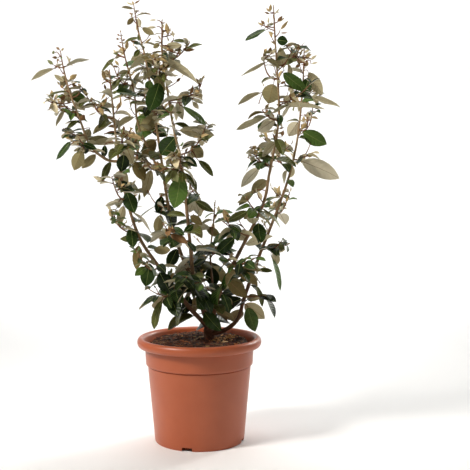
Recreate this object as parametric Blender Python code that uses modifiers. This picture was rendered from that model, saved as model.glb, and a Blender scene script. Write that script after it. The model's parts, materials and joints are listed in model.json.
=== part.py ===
"""Potted ebbinge silverberry, an evergreen shrub in a moulded terracotta-coloured pot.

Metres, +Z up, +X to the viewer's right, -Y towards the viewer. The origin is the middle of the
pot's flat underside. Lengths in the tables of the plant are in millimetres and angles in degrees.
A bearing is 0 along +X and 90 along +Y. Heights are above the pot's underside.
"""

import math
import random

import bmesh
import bpy
import numpy as np
from mathutils import Matrix, Vector
from mathutils.bvhtree import BVHTree

MM = 0.001
CLEARANCE = 0.3 * MM
WELD = 1e-7

# Pot: a 24 cm pot with a rolled rim, a straight collar under it and a tapered body. Its foot is a
# ring and a middle disc, level with each other, with a shallow recess between them.
RIM_RADIUS = 120 * MM
RIM_TOP = 202.5 * MM
RIM_FOOT = 184 * MM
ROLL_WIDTH = 7 * MM
ROLL_HEIGHT = 9.3 * MM
ROLL_ANGLES = range(118, -63, -30)
LIP_RADIUS = 106 * MM
LIP_HEIGHT = 197.5 * MM
THROAT_RADIUS = 103.4 * MM
THROAT_HEIGHT = 188.5 * MM
COLLAR_TOP_RADIUS = 105 * MM
COLLAR_FOOT_RADIUS = 103.3 * MM
COLLAR_FOOT = 150 * MM
COLLAR_ROUND = 1.2 * MM
BODY_TOP_RADIUS = 99.8 * MM
FOOT_RADIUS = 86.8 * MM
FOOT_ROUND = 1.6 * MM
FOOT_RING = 15 * MM
FOOT_DISC = 28 * MM
RECESS = 3 * MM
RECESS_SLOPE = 2 * MM
WALL = 2.6 * MM
FLOOR = 7 * MM
DRAIN_COUNT = 4
DRAIN_FIRST_BEARING = 76
DRAIN_WIDTH = 21 * MM
DRAIN_DEPTH = 14 * MM
DRAIN_BOTTOM = 3 * MM
DRAIN_TOP = 10 * MM
POT_STEPS = 36

# Compost, level under the trunk and a little lower at the wall.
SOIL_TOP = 188 * MM
SOIL_FLAT = 60 * MM
SOIL_RADIUS = 102.2 * MM
SOIL_EDGE = 185.5 * MM
SOIL_GAP = 1.5 * CLEARANCE

# Trunk: height and radius at each change of taper, from the flat cut on the compost to the fork.
TRUNK_PLACE = (18, 0)
TRUNK_TAPER = ((188.3, 12.5), (194, 10.2), (204, 9.0), (216, 8.6), (227, 7.4))
ARM_LENGTH = 26 * MM
ARM_HEEL = 1.2
ARM_WAIST = 1.06
ARM_STRAIGHT = 6 * MM
STEM_STRAIGHT = 4 * MM
STEM_FREE = 12 * MM

# Limbs and shoots: how their lines bend and thin, and the twig that forks off each shoot.
LIMB_STEP = 36 * MM
LIMB_THINNING = 0.8
BOUGH_STRAIGHT = 6 * MM
SHOOT_STEPS = 3
SHOOT_HEEL = 2 * MM
SHOOT_BEND = 0.45
TIP_LIFT = 0.35
SHOOT_RADIUS = (1.7, 0.9)
TWIG_RADIUS = (0.8, 0.6)
TWIG_FORK = 0.45
TWIG_TURN = 58
TWIG_SHARE = (0.46, 0.66)
TWIG_RISE = (14, 38)

# The rule for leaves: how many a shoot and a twig bear, the turn from one to the next, their
# length low and high in the crown, how they shorten towards the tip, and how they rise there.
# A pair of numbers is a range that the seeded dice choose from.
SEED = 700
LEAVES_PER_SHOOT = 5
LEAVES_PER_TWIG = 2
FIRST_LEAF = 0.24
FIRST_TURN = (45, 95)
SPIRAL = 137.5
LONGEST_LOW = 76
LONGEST_HIGH = 58
TIP_SHORTENING = 0.42
TIP_LEAVES = 0.72
LENGTH_SPREAD = (0.88, 1.14)
PITCH_FOOT = -42
PITCH_RISE = 62
PITCH_SPREAD = (-20, 20)
ROLL_SPREAD = (-65, 65)
CROWN_FOOT = 0.25
CROWN_HEIGHT = 0.5
SILVER_FROM = 0.46
VIEWER = -90

# Room for a leaf: the turns tried one after another, and the gaps kept to other things.
SWINGS = (0, 15, -15, 32, -32, 52, -52)
SWING_LIFT = 0.3
SWING_SHRINK = 0.05
SPACE_MARGIN = 1.0 * MM
LIMB_MARGIN = 1.2 * MM
TWIG_MARGIN = 2.5 * MM
LOWEST_LEAF = RIM_TOP + 3 * MM
MASS_TRIES = 8

# Leaf solid, as shares of its length: where its outline turns and how wide it is there, how far
# its keel lies above and below, its fold and droop. Its root sinks by a share of its twig's radius.
LEAF_SHOULDER = (0.30, 0.26)
LEAF_TAPER = (0.70, 0.208)
LEAF_WAIST = (0.46, 0.26)
LEAF_KEEL = (0.012, -0.023)
LEAF_FOLD = 0.035
LEAF_DROOP = 0.09
LEAF_SINK = (0.2, 0.4)
UPRIGHT_LEAF = 0.15

# Each limb: the points that its middle line runs through, its radius at foot and tip, and its
# shoots. A limb that leaves another names it and the height where it does. A shoot gives its
# height on the limb, bearing, length and rise, then the leaves that shape the crown's outline:
# place along the shoot, bearing, pitch, length, and how far the upper side turns to the viewer.
LIMBS = {
    "left_low": {
        "route": ((20, 0, 218), (-20, -10, 262), (-75, -20, 338), (-113, -30, 400),
                  (-138, -38, 485), (-150, -44, 560), (-160, -50, 672)),
        "radii": (4.4, 1.6),
        "shoots": (
            (292, 210, 60, 12, ((0.5, 215, -68, 62, 20),)),
            (340, 225, 65, 35, ((0.12, 300, -52, 64, 15), (0.45, 245, -62, 58, 0))),
            (410, 200, 60, 40, ((0.1, 200, -72, 56, -60), (0.3, 262, -60, 48, 10))),
            (470, 240, 60, 45, ((0.08, 285, -58, 54, 5), (0.3, 205, -58, 46, -60))),
            (555, 290, 60, 40, ((0.1, 268, -50, 54, 0),)),
            (620, 190, 60, 45, ((0.5, 180, -12, 42, -50),)),
        ),
        "tip_shoot": (36, ((0.3, 150, 10, 36, -40),)),
    },
    "far_left": {
        "from": ("left_low", 541),
        "route": ((-173, -45, 545), (-201, -42, 569), (-220, -38, 617), (-240, -33, 670),
                  (-249, -29, 703)),
        "radii": (2.8, 1.4),
        "shoots": (
            (558, 250, 50, 20, ((0.12, 190, -46, 50, -60), (0.5, 250, -50, 42, 10))),
            (590, 205, 50, 20, ((0.15, 215, -52, 55, -70), (0.6, 200, -48, 50, 35))),
            (632, 185, 52, 28, ((0.1, 215, -35, 38, 50), (0.45, 200, -60, 46, -60))),
            (658, 20, 40, 55, ((0.12, 330, -12, 44, 55),)),
        ),
        "tip_shoot": (42, ((0.14, 0, 14, 58, -50), (0.2, 180, -26, 58, -50))),
    },
    "left_tall": {
        "route": ((20, 0, 218), (-13, 25, 303), (-40, 45, 366), (-62, 65, 444),
                  (-76, 80, 530), (-108, 108, 730), (-125, 116, 800)),
        "radii": (4.4, 1.5),
        "shoots": (
            (330, 60, 75, 25, ((0.3, 90, -40, 60, 0),)),
            (452, 170, 60, 45, ((0.1, 200, -60, 42, 20), (0.3, 215, -75, 44, -60))),
            (522, 190, 60, 40, ((0.12, 190, -70, 66, -20),)),
            (600, 110, 75, 40, ((0.2, 100, -30, 62, 0),)),
            (640, 250, 60, 40, ((0.1, 215, -62, 58, 20), (0.35, 235, -48, 66, -60))),
            (712, 90, 62, 45, ((0.15, 60, -25, 58, 0),)),
        ),
        "tip_shoot": (56, ((0.05, 0, -22, 32, -50), (0.3, 185, -30, 26, 10),
                           (0.55, 170, 5, 24, 0), (0.6, 10, 12, 32, 0))),
    },
    "left_middle": {
        "from": ("left_tall", 530),
        "route": ((-101, 78, 560), (-124, 75, 615), (-130, 68, 677), (-142, 62, 725)),
        "radii": (2.4, 1.4),
        "shoots": (
            (690, 190, 50, 45, ((0.1, 200, -45, 44, 30),)),
        ),
        "tip_shoot": (62, ((0.06, 190, -42, 44, -10), (0.4, 20, 10, 30, -40))),
    },
    "left_inner": {
        "route": ((20, 0, 218), (-8, -26, 310), (-16, -45, 393), (-28, -75, 528),
                  (-44, -90, 609), (-60, -107, 725), (-61, -111, 746)),
        "radii": (4.2, 1.5),
        "shoots": (
            (310, 250, 60, 20, ((0.25, 250, -65, 48, 10), (0.6, 235, -58, 44, -50))),
            (392, 205, 62, 35, ((0.1, 262, -50, 44, 0), (0.45, 210, -58, 54, 15))),
            (470, 10, 62, 38, ((0.1, 340, -30, 38, -50), (0.4, 350, -28, 50, 20))),
            (522, 265, 50, 35, ((0.12, 262, -68, 70, 0),)),
            (552, 350, 70, 48, ((0.08, 330, -28, 40, 50), (0.45, 0, -44, 50, -50),
                                (0.75, 355, -8, 80, -50))),
            (648, 0, 68, 20, ((0.12, 340, -36, 66, 30),)),
            (690, 230, 48, 45, ((0.12, 245, -64, 64, 0),)),
            (716, 5, 58, 38, ((0.1, 357, -30, 84, -60),)),
        ),
        "tip_shoot": (42, ((0.1, 170, 10, 34, -30), (0.3, 10, 20, 36, 0))),
    },
    "centre": {
        "route": ((20, 0, 218), (25, 24, 288), (20, 55, 355), (26, 76, 420)),
        "radii": (3.0, 1.3),
        "shoots": (
            (350, 285, 50, 30, ((0.15, 275, -60, 50, 0), (0.5, 300, -20, 46, 20))),
        ),
        "tip_shoot": (40, ((0.1, 200, -20, 34, -30), (0.35, 10, 10, 40, 20))),
    },
    "right_inner": {
        "route": ((20, 0, 218), (38, -14, 285), (61, -22, 336), (119, -45, 455),
                  (133, -55, 520), (146, -65, 590), (149, -72, 645), (141, -86, 762)),
        "radii": (4.2, 1.5),
        "shoots": (
            (338, 300, 62, 25, ((0.1, 330, -42, 58, -20), (0.45, 275, -55, 42, 10))),
            (400, 205, 60, 30, ((0.15, 200, -42, 56, 30), (0.5, 220, -20, 46, -50))),
            (447, 240, 60, 30, ((0.1, 275, -55, 54, 0), (0.4, 200, -30, 58, 30))),
            (532, 190, 55, 45, ((0.1, 190, -45, 64, -20),)),
            (615, 180, 45, 40, ((0.08, 182, -24, 72, 5), (0.3, 170, -36, 56, -70))),
            (648, 350, 65, 30, ((0.1, 355, -8, 84, -45),)),
            (690, 190, 50, 60, ((0.08, 185, -28, 60, -10), (0.75, 183, -28, 74, 0))),
            (712, 15, 68, 50, ((0.12, 325, -40, 66, 45),)),
        ),
        "tip_shoot": (56, ((0.06, 300, -20, 36, 45), (0.14, 182, -30, 56, 10))),
    },
    "right_outer": {
        "route": ((19, 0, 207), (48, 2, 214), (75, 13, 235), (86, 26, 270), (112, 45, 342),
                  (168, 75, 484), (192, 88, 575), (204, 97, 680), (206, 98, 722)),
        "radii": (4.2, 1.5),
        "shoots": (
            (278, 330, 55, 12, ((0.2, 285, -62, 60, 5), (0.7, 340, -60, 50, 0))),
            (372, 350, 58, 12, ((0.1, 320, -20, 38, 30), (0.45, 345, -70, 74, 0))),
            (440, 60, 68, 35, ((0.2, 60, -30, 60, 0),)),
            (522, 215, 78, 62, ((0.1, 250, -45, 42, -50),)),
            (545, 5, 45, 45, ((0.12, 0, -20, 86, -60),)),
            (602, 355, 52, 60, ((0.1, 355, -32, 62, 50),)),
            (655, 60, 60, 40, ((0.08, 0, -14, 74, -30),)),
        ),
        "tip_shoot": (48, ((0.05, 345, -58, 56, -65), (0.08, 285, -55, 50, 10))),
    },
}

LEAF_GREEN = (0.045, 0.085, 0.030, 1.0)
LEAF_SILVER = (0.36, 0.33, 0.22, 1.0)
BARK_BROWN = (0.150, 0.085, 0.055, 1.0)
TERRACOTTA = (0.46, 0.165, 0.085, 1.0)
COMPOST_BROWN = (0.060, 0.038, 0.024, 1.0)


def clear_scene():
    for old in list(bpy.data.objects):
        bpy.data.objects.remove(old, do_unlink=True)


def collection_of(name):
    made = bpy.data.collections.new(name)
    bpy.context.scene.collection.children.link(made)
    return made


def principled(name, colour, roughness):
    material = bpy.data.materials.new(name)
    material.use_nodes = True
    shader = material.node_tree.nodes["Principled BSDF"]
    shader.inputs["Base Color"].default_value = colour
    shader.inputs["Roughness"].default_value = roughness
    shader.inputs["Metallic"].default_value = 0.0
    material.diffuse_color = colour
    return material


def add_object(name, mesh, collection, material=None):
    made = bpy.data.objects.new(name, mesh)
    collection.objects.link(made)
    if material is not None:
        mesh.materials.clear()
        mesh.materials.append(material)
    return made


def evaluated_mesh(made):
    """The object's mesh with its modifiers applied, welded and facing out; the object is removed."""
    bpy.context.view_layer.update()
    graph = bpy.context.evaluated_depsgraph_get()
    mesh = bpy.data.meshes.new_from_object(made.evaluated_get(graph))
    form = bmesh.new()
    form.from_mesh(mesh)
    bmesh.ops.remove_doubles(form, verts=form.verts, dist=1e-6)
    bmesh.ops.recalc_face_normals(form, faces=form.faces)
    form.to_mesh(mesh)
    form.free()
    bpy.data.objects.remove(made, do_unlink=True)
    return mesh


def heading(bearing, pitch=0.0):
    turn = math.radians(bearing)
    rise = math.radians(pitch)
    flat = math.cos(rise)
    return Vector((flat * math.cos(turn), flat * math.sin(turn), math.sin(rise)))


# Pot and compost

def pot_inside():
    """Radius and height down the inner wall, from the rim's inner edge to the floor."""
    return [
        (LIP_RADIUS, LIP_HEIGHT),
        (THROAT_RADIUS, THROAT_HEIGHT),
        (COLLAR_TOP_RADIUS - WALL, RIM_FOOT - 2 * WALL),
        (COLLAR_FOOT_RADIUS - WALL, COLLAR_FOOT + WALL),
        (BODY_TOP_RADIUS - WALL, COLLAR_FOOT - WALL),
        (FOOT_RADIUS - WALL, FLOOR),
    ]


def pot_outside():
    """Radius and height over the rim, then down the outside to the middle of the underside."""
    middle, level = RIM_RADIUS - ROLL_WIDTH, RIM_TOP - ROLL_HEIGHT
    roll = []
    for angle in ROLL_ANGLES:
        turn = math.radians(angle)
        roll.append((middle + ROLL_WIDTH * math.cos(turn), level + ROLL_HEIGHT * math.sin(turn)))
    return roll + [
        (COLLAR_TOP_RADIUS, RIM_FOOT),
        (COLLAR_FOOT_RADIUS, COLLAR_FOOT + COLLAR_ROUND),
        (COLLAR_FOOT_RADIUS - COLLAR_ROUND, COLLAR_FOOT),
        (BODY_TOP_RADIUS, COLLAR_FOOT - COLLAR_ROUND / 2),
        (FOOT_RADIUS, 2 * FOOT_ROUND),
        (FOOT_RADIUS - FOOT_ROUND, 0.0),
        (FOOT_RADIUS - FOOT_RING, 0.0),
        (FOOT_RADIUS - FOOT_RING - RECESS_SLOPE, RECESS),
        (FOOT_DISC + RECESS_SLOPE, RECESS),
        (FOOT_DISC, 0.0),
        (0.0, 0.0),
    ]


def turned(name, profile, collection, material):
    """A profile of (radius, height) turned about the upright axis."""
    mesh = bpy.data.meshes.new(name)
    edges = [(i, i + 1) for i in range(len(profile) - 1)]
    mesh.from_pydata([(radius, 0.0, height) for radius, height in profile], edges, [])
    made = add_object(name, mesh, collection, material)
    screw = made.modifiers.new("Turn", "SCREW")
    screw.steps = POT_STEPS
    screw.render_steps = POT_STEPS
    screw.use_merge_vertices = True
    screw.merge_threshold = 0.00005
    screw.use_smooth_shade = True
    return made


def build_pot(parts, cutters, material):
    profile = [(0.0, FLOOR)] + pot_inside()[::-1] + pot_outside()
    pot = turned("pot", profile, parts, material)
    for i in range(DRAIN_COUNT):
        bearing = DRAIN_FIRST_BEARING + i * 360 / DRAIN_COUNT
        bpy.ops.mesh.primitive_cube_add(size=1)
        cutter = bpy.context.object
        cutter.name = f"drain_cutter_{i + 1}"
        cutter.location = heading(bearing) * FOOT_RADIUS
        cutter.location.z = (DRAIN_BOTTOM + DRAIN_TOP) / 2
        cutter.rotation_euler.z = math.radians(bearing)
        cutter.scale = (DRAIN_DEPTH, DRAIN_WIDTH, DRAIN_TOP - DRAIN_BOTTOM)
        for home in list(cutter.users_collection):
            home.objects.unlink(cutter)
        cutters.objects.link(cutter)
        cutter.hide_render = True
        cutter.display_type = "WIRE"
        drain = pot.modifiers.new(f"Drain {i + 1}", "BOOLEAN")
        drain.operation = "DIFFERENCE"
        drain.solver = "EXACT"
        drain.object = cutter
    return pot


def build_soil(parts, material):
    wall = [(radius - SOIL_GAP, max(height, FLOOR + CLEARANCE))
            for radius, height in pot_inside() if height < SOIL_EDGE]
    profile = [(0.0, SOIL_TOP), (SOIL_FLAT, SOIL_TOP), (SOIL_RADIUS, SOIL_EDGE)] + wall
    profile.append((0.0, FLOOR + CLEARANCE))
    return turned("compost", profile, parts, material)


# Limbs

def smooth_route(points, step):
    """Points a step apart on a smooth curve through the given points, which stay on it."""
    known = [Vector(point) * MM for point in points]
    padded = [2 * known[0] - known[1]] + known + [2 * known[-1] - known[-2]]
    made = [known[0]]
    for before, start, end, after in zip(padded, padded[1:], padded[2:], padded[3:]):
        pieces = max(1, round((end - start).length / step))
        for i in range(1, pieces + 1):
            u = i / pieces
            made.append(0.5 * (2 * start + (end - before) * u
                               + (2 * before - 5 * start + 4 * end - after) * u ** 2
                               + (3 * start - before - 3 * end + after) * u ** 3))
    return made


def lengths_along(route):
    """The share of the route's length at each of its points."""
    runs = [(b - a).length for a, b in zip(route, route[1:])]
    along = np.concatenate([[0.0], np.cumsum(runs)])
    return along / along[-1]


def tube_mesh(route, radii, bevel_resolution=2, section=None):
    """A tapering limb or twig: a curve with a round or a given section, closed at both ends."""
    curve = bpy.data.curves.new("limb_curve", "CURVE")
    curve.dimensions = "3D"
    if section is None:
        curve.bevel_depth = MM
        curve.bevel_resolution = bevel_resolution
    else:
        curve.bevel_mode = "OBJECT"
        curve.bevel_object = section
    curve.use_fill_caps = True
    spline = curve.splines.new("POLY")
    spline.points.add(len(route) - 1)
    for point, place, radius in zip(spline.points, route, radii):
        point.co = (*place, 1.0)
        point.radius = radius
    made = bpy.data.objects.new("limb_curve", curve)
    bpy.context.scene.collection.objects.link(made)
    mesh = evaluated_mesh(made)
    bpy.data.curves.remove(curve)
    return mesh


def triangle_section(cutters):
    """The three-sided section of a twig, 1 mm in radius."""
    curve = bpy.data.curves.new("twig_section", "CURVE")
    curve.dimensions = "2D"
    spline = curve.splines.new("POLY")
    spline.points.add(2)
    for i, point in enumerate(spline.points):
        corner = heading(90 + 120 * i) * MM
        point.co = (corner.x, corner.y, 0.0, 1.0)
    spline.use_cyclic_u = True
    section = add_object("twig_section", curve, cutters)
    section.hide_render = True
    section.display_type = "WIRE"
    return section


def at_height(limb, height):
    """Place, direction and radius where a limb first reaches a height."""
    route = limb["line"]
    for i in range(len(route) - 1):
        low, high = route[i].z, route[i + 1].z
        if low <= height * MM <= high:
            u = (height * MM - low) / (high - low)
            place = route[i].lerp(route[i + 1], u)
            radius = limb["sizes"][i] * (1 - u) + limb["sizes"][i + 1] * u
            return place, (route[i + 1] - route[i]).normalized(), radius * MM
    raise ValueError(f"no point of the limb is {height} mm high")


def foot_on(limb, height, bearing):
    """Where a shoot leaves a limb's surface, just clear of it, and its first direction."""
    place, along, radius = at_height(limb, height)
    out = heading(bearing)
    out = (out - along * out.dot(along)).normalized()
    return place + out * (radius + CLEARANCE), out


def split_at_arm(route):
    """The arm that is one with the trunk, and the rest, cut square across and just apart."""
    last = 1
    while (route[last] - route[0]).length < ARM_LENGTH:
        last += 1
    along = (route[last] - route[0]).normalized()
    end = route[0] + along * ARM_LENGTH
    start = end + along * CLEARANCE
    rest = [start, start + along * STEM_STRAIGHT]
    rest += [place for place in route[last:] if (place - start).length > STEM_FREE]
    return [route[0], end - along * ARM_STRAIGHT, end], rest


def lay_out_limbs():
    """The middle line and radii of every limb, and the trunk's arms."""
    limbs = {}
    arms = []
    for name, plan in LIMBS.items():
        points = plan["route"]
        if "from" in plan:
            parent, height = plan["from"]
            first = Vector(points[0]) * MM
            place = at_height(limbs[parent], height)[0]
            bearing = math.degrees(math.atan2(first.y - place.y, first.x - place.x))
            foot, out = foot_on(limbs[parent], height, bearing)
            heel = [foot / MM, (foot + out * BOUGH_STRAIGHT) / MM]
            line = smooth_route([*heel, *points], LIMB_STEP)
        else:
            arm, line = split_at_arm(smooth_route(points, LIMB_STEP))
            arms.append((arm, plan["radii"][0]))
        foot_radius, tip_radius = plan["radii"]
        shares = lengths_along(line)
        sizes = [foot_radius + (tip_radius - foot_radius) * share ** LIMB_THINNING
                 for share in shares]
        limbs[name] = {"line": line, "sizes": sizes}
    return limbs, arms


def build_trunk(arms, parts, material):
    route = [Vector((*TRUNK_PLACE, height)) * MM for height, _ in TRUNK_TAPER]
    trunk = add_object("trunk", tube_mesh(route, [r for _, r in TRUNK_TAPER], 4), parts, material)
    pieces = collection_of("arms")
    for arm, radius in arms:
        add_object("arm", tube_mesh(arm, (radius * ARM_HEEL, radius * ARM_WAIST, radius)), pieces)
    join(trunk, pieces)


# Shoots and leaves

def plan_shoots(limbs):
    """Every shoot's middle line, before any leaf is placed, so that each knows its own space."""
    shoots = []
    for name, plan in LIMBS.items():
        limb = limbs[name]
        for i, (height, bearing, length, rise, leaves) in enumerate(plan["shoots"]):
            foot, out = foot_on(limb, height, bearing)
            bend = foot + out * length * SHOOT_BEND * MM
            end = foot + heading(bearing, rise) * length * MM
            line = [foot] + arc(foot + out * SHOOT_HEEL, bend, end)
            shoots.append({"name": f"leaves_{name}_{i + 1}", "line": line, "bearing": bearing,
                           "side": (-1) ** i, "size": 1.0, "leaves": leaves})
        length, leaves = plan["tip_shoot"]
        along = (limb["line"][-1] - limb["line"][-2]).normalized()
        foot = limb["line"][-1] + along * CLEARANCE
        bend = foot + along * length * SHOOT_BEND * MM
        end = foot + (along + Vector((0, 0, TIP_LIFT))).normalized() * length * MM
        line = [foot] + arc(foot + along * SHOOT_HEEL, bend, end)
        shoots.append({"name": f"leaves_{name}_tip", "line": line, "bearing": 90,
                       "side": (-1) ** len(shoots), "size": TIP_LEAVES, "leaves": leaves})
    return shoots


def arc(start, bend, end):
    """A bent line from start to end that sets out towards the bend."""
    shares = [i / SHOOT_STEPS for i in range(SHOOT_STEPS + 1)]
    return [start * (1 - u) ** 2 + bend * 2 * u * (1 - u) + end * u ** 2 for u in shares]


def along_line(line, share):
    """The place at a share of a line's length."""
    shares = lengths_along(line)
    i = min(int(np.searchsorted(shares, share, side="right")), len(line) - 1)
    u = (share - shares[i - 1]) / (shares[i] - shares[i - 1])
    return line[i - 1].lerp(line[i], u)


def leaf_template(sides):
    """A folded leaf one unit long, from a sphere whose rim is its outline and poles its keel."""
    mesh = bpy.data.meshes.new("leaf")
    form = bmesh.new()
    point_at_x = Matrix.Rotation(math.radians(90), 4, "Z")
    bmesh.ops.create_uvsphere(form, u_segments=sides, v_segments=2, radius=1.0, matrix=point_at_x)
    for corner in form.verts:
        x, y, z = corner.co
        if abs(z) > 0.5:
            corner.co = (LEAF_WAIST[0], 0.0, LEAF_KEEL[0] if z > 0 else LEAF_KEEL[1])
        elif x < -0.9:
            corner.co = (0.0, 0.0, 0.0)
        elif x > 0.9:
            corner.co = (1.0, 0.0, -LEAF_DROOP)
        else:
            place, half = LEAF_SHOULDER if x < -0.1 else LEAF_TAPER if x > 0.1 else LEAF_WAIST
            droop = LEAF_DROOP * max(0.0, place - LEAF_WAIST[0]) / (1 - LEAF_WAIST[0])
            corner.co = (place, math.copysign(half, y), LEAF_FOLD - droop)
    form.to_mesh(mesh)
    form.free()
    return mesh


def leaf_frame(root, direction, length, turn, facing):
    """The leaf's matrix: X along it, Z its upper side, turned by an angle to face a bearing."""
    upper = heading(facing, 90 - turn)
    upper = upper - direction * upper.dot(direction)
    if upper.length < UPRIGHT_LEAF:
        upper = direction.cross(Vector((0, 0, 1)))
    upper.normalize()
    across = upper.cross(direction)
    turned_to = Matrix((direction, across, upper)).transposed().to_4x4()
    return Matrix.Translation(root) @ turned_to @ Matrix.Scale(length, 4)


def ruled_leaf(shoot, bearing, i, count, dice):
    """The next leaf up a shoot or twig: in a spiral, drooping at its foot and standing at its tip."""
    share = FIRST_LEAF + (1 - FIRST_LEAF) * (i + 1) / count
    height = (shoot["line"][0].z - CROWN_FOOT) / CROWN_HEIGHT
    longest = LONGEST_LOW + (LONGEST_HIGH - LONGEST_LOW) * min(1.0, max(0.0, height))
    shorter = shoot["size"] * (1 - TIP_SHORTENING * share)
    outward = bearing + SPIRAL * i + dice.uniform(*FIRST_TURN)
    return (share, outward, PITCH_FOOT + PITCH_RISE * share + dice.uniform(*PITCH_SPREAD),
            longest * shorter * dice.uniform(*LENGTH_SPREAD), dice.uniform(*ROLL_SPREAD), outward + 90)


def distances(points, starts, ends):
    """Distance from each point to each segment."""
    runs = ends - starts
    gaps = points[:, None, :] - starts[None]
    shares = np.clip((gaps * runs).sum(2) / (runs * runs).sum(1), 0, 1)
    return np.linalg.norm(gaps - shares[..., None] * runs, axis=2)


class Space:
    """What a mass keeps to: nearer to its own shoot than to any other, and off the limbs."""

    def __init__(self, shoots, limbs):
        starts, ends, owners = [], [], []
        for owner, shoot in enumerate(shoots):
            for a, b in zip(shoot["line"], shoot["line"][1:]):
                starts.append(a)
                ends.append(b)
                owners.append(owner)
        self.starts, self.ends, self.owners = np.array(starts), np.array(ends), np.array(owners)
        places, faces = [], []
        for limb in limbs.values():
            fat = [size + LIMB_MARGIN / MM for size in limb["sizes"]]
            mesh = tube_mesh(limb["line"], fat, 1)
            faces += [[len(places) + corner for corner in face.vertices] for face in mesh.polygons]
            places += [corner.co.copy() for corner in mesh.vertices]
            bpy.data.meshes.remove(mesh)
        self.limbs = BVHTree.FromPolygons(places, faces)

    def holds(self, owner, points):
        """Whether points lie in a shoot's own space."""
        away = distances(points, self.starts, self.ends)
        mine = away[:, self.owners == owner].min(1)
        others = away[:, self.owners != owner].min(1)
        return bool((mine + SPACE_MARGIN < others).all()) and points[:, 2].min() > LOWEST_LEAF

    def holds_twig(self, owner, line):
        near = min(self.limbs.find_nearest(place)[3] for place in line[1:])
        return near > TWIG_MARGIN and self.holds(owner, np.array(line[1:]))

    def holds_leaf(self, owner, corners, form, neighbours):
        """Whether a leaf has room, clear of the limbs and of its own shoot's other leaves."""
        middles = [(a + b) / 2 for i, a in enumerate(corners) for b in corners[i + 1:]]
        if not self.holds(owner, np.array(corners + middles)) or form.overlap(self.limbs):
            return False
        return not any(form.overlap(other) for other in neighbours)


def fork_twig(owner, shoot, space, dice):
    """The twig that forks off a shoot to one side and its bearing, if there is room for one."""
    start = along_line(shoot["line"], TWIG_FORK)
    reach = (shoot["line"][-1] - shoot["line"][0]).length
    length = reach * dice.uniform(*TWIG_SHARE)
    rise = dice.uniform(*TWIG_RISE)
    for swing in SWINGS:
        bearing = shoot["bearing"] + TWIG_TURN * shoot["side"] + swing
        bend = start + heading(bearing, rise / 2) * length * SHOOT_BEND
        line = [start, bend, start + heading(bearing, rise) * length]
        if space.holds_twig(owner, line):
            return [(line, bearing)]
    return []


def place_leaves(owner, shoot, space, templates, dice):
    """The shoot's twigs and leaves: those that shape the outline, then those of the rule."""
    twigs = fork_twig(owner, shoot, space, dice)
    fine, plain = templates
    wanted = [(shoot["line"], SHOOT_RADIUS, fine, (*leaf, VIEWER)) for leaf in shoot["leaves"]]
    for i in range(LEAVES_PER_SHOOT):
        leaf = ruled_leaf(shoot, shoot["bearing"], i, LEAVES_PER_SHOOT, dice)
        wanted.append((shoot["line"], SHOOT_RADIUS, plain, leaf))
    for line, bearing in twigs:
        for i in range(LEAVES_PER_TWIG):
            leaf = ruled_leaf(shoot, bearing, i, LEAVES_PER_TWIG, dice)
            wanted.append((line, TWIG_RADIUS, plain, leaf))
    placed = []
    neighbours = []
    for line, (thick, thin), template, leaf in wanted:
        share, bearing, pitch, length, turn, facing = leaf
        root = along_line(line, share)
        sink = (thick + (thin - thick) * share) * dice.uniform(*LEAF_SINK) * MM
        faces = [tuple(face.vertices) for face in template.polygons]
        for attempt, swing in enumerate(SWINGS):
            direction = heading(bearing + swing, pitch + abs(swing) * SWING_LIFT)
            size = length * (1 - SWING_SHRINK * attempt) * MM
            frame = leaf_frame(root - direction * sink, direction, size, turn, facing)
            corners = [frame @ corner.co for corner in template.vertices]
            form = BVHTree.FromPolygons(corners, faces)
            if space.holds_leaf(owner, corners, form, neighbours):
                placed.append((template, frame))
                neighbours.append(form)
                break
    return [line for line, _ in twigs], placed


def join(base, pieces):
    """The base joined with a collection's objects by one union, which are then removed."""
    for solver in ("EXACT", "MANIFOLD"):
        union = base.modifiers.new("Join", "BOOLEAN")
        union.operation = "UNION"
        union.operand_type = "COLLECTION"
        union.collection = pieces
        union.solver = solver
        bpy.context.view_layer.update()
        graph = bpy.context.evaluated_depsgraph_get()
        mesh = bpy.data.meshes.new_from_object(base.evaluated_get(graph))
        base.modifiers.remove(union)
        closed = keep_body(mesh)
        if closed:
            break
    materials = list(base.data.materials)
    base.data = mesh
    mesh.materials.clear()
    for material in materials:
        mesh.materials.append(material)
    for piece in list(pieces.objects):
        bpy.data.objects.remove(piece, do_unlink=True)
    bpy.data.collections.remove(pieces)
    return closed


def keep_body(mesh):
    """Keeps the largest closed body: a scrap beside it and the skin of a sealed hollow go."""
    form = bmesh.new()
    form.from_mesh(mesh)
    bmesh.ops.remove_doubles(form, verts=form.verts, dist=WELD)
    bmesh.ops.triangulate(form, faces=form.faces)
    bodies = []
    seen = set()
    for face in form.faces:
        if face in seen:
            continue
        body, front = [], [face]
        seen.add(face)
        while front:
            at = front.pop()
            body.append(at)
            for edge in at.edges:
                for beside in edge.link_faces:
                    if beside not in seen:
                        seen.add(beside)
                        front.append(beside)
        bodies.append(body)
    bodies.sort(key=len, reverse=True)
    for body in bodies[1:]:
        bmesh.ops.delete(form, geom=body, context="FACES")
    loose = [corner for corner in form.verts if not corner.link_faces]
    bmesh.ops.delete(form, geom=loose, context="VERTS")
    closed = all(edge.is_manifold for edge in form.edges) and form.calc_volume(signed=True) > 0
    form.to_mesh(mesh)
    form.free()
    return closed


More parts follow.
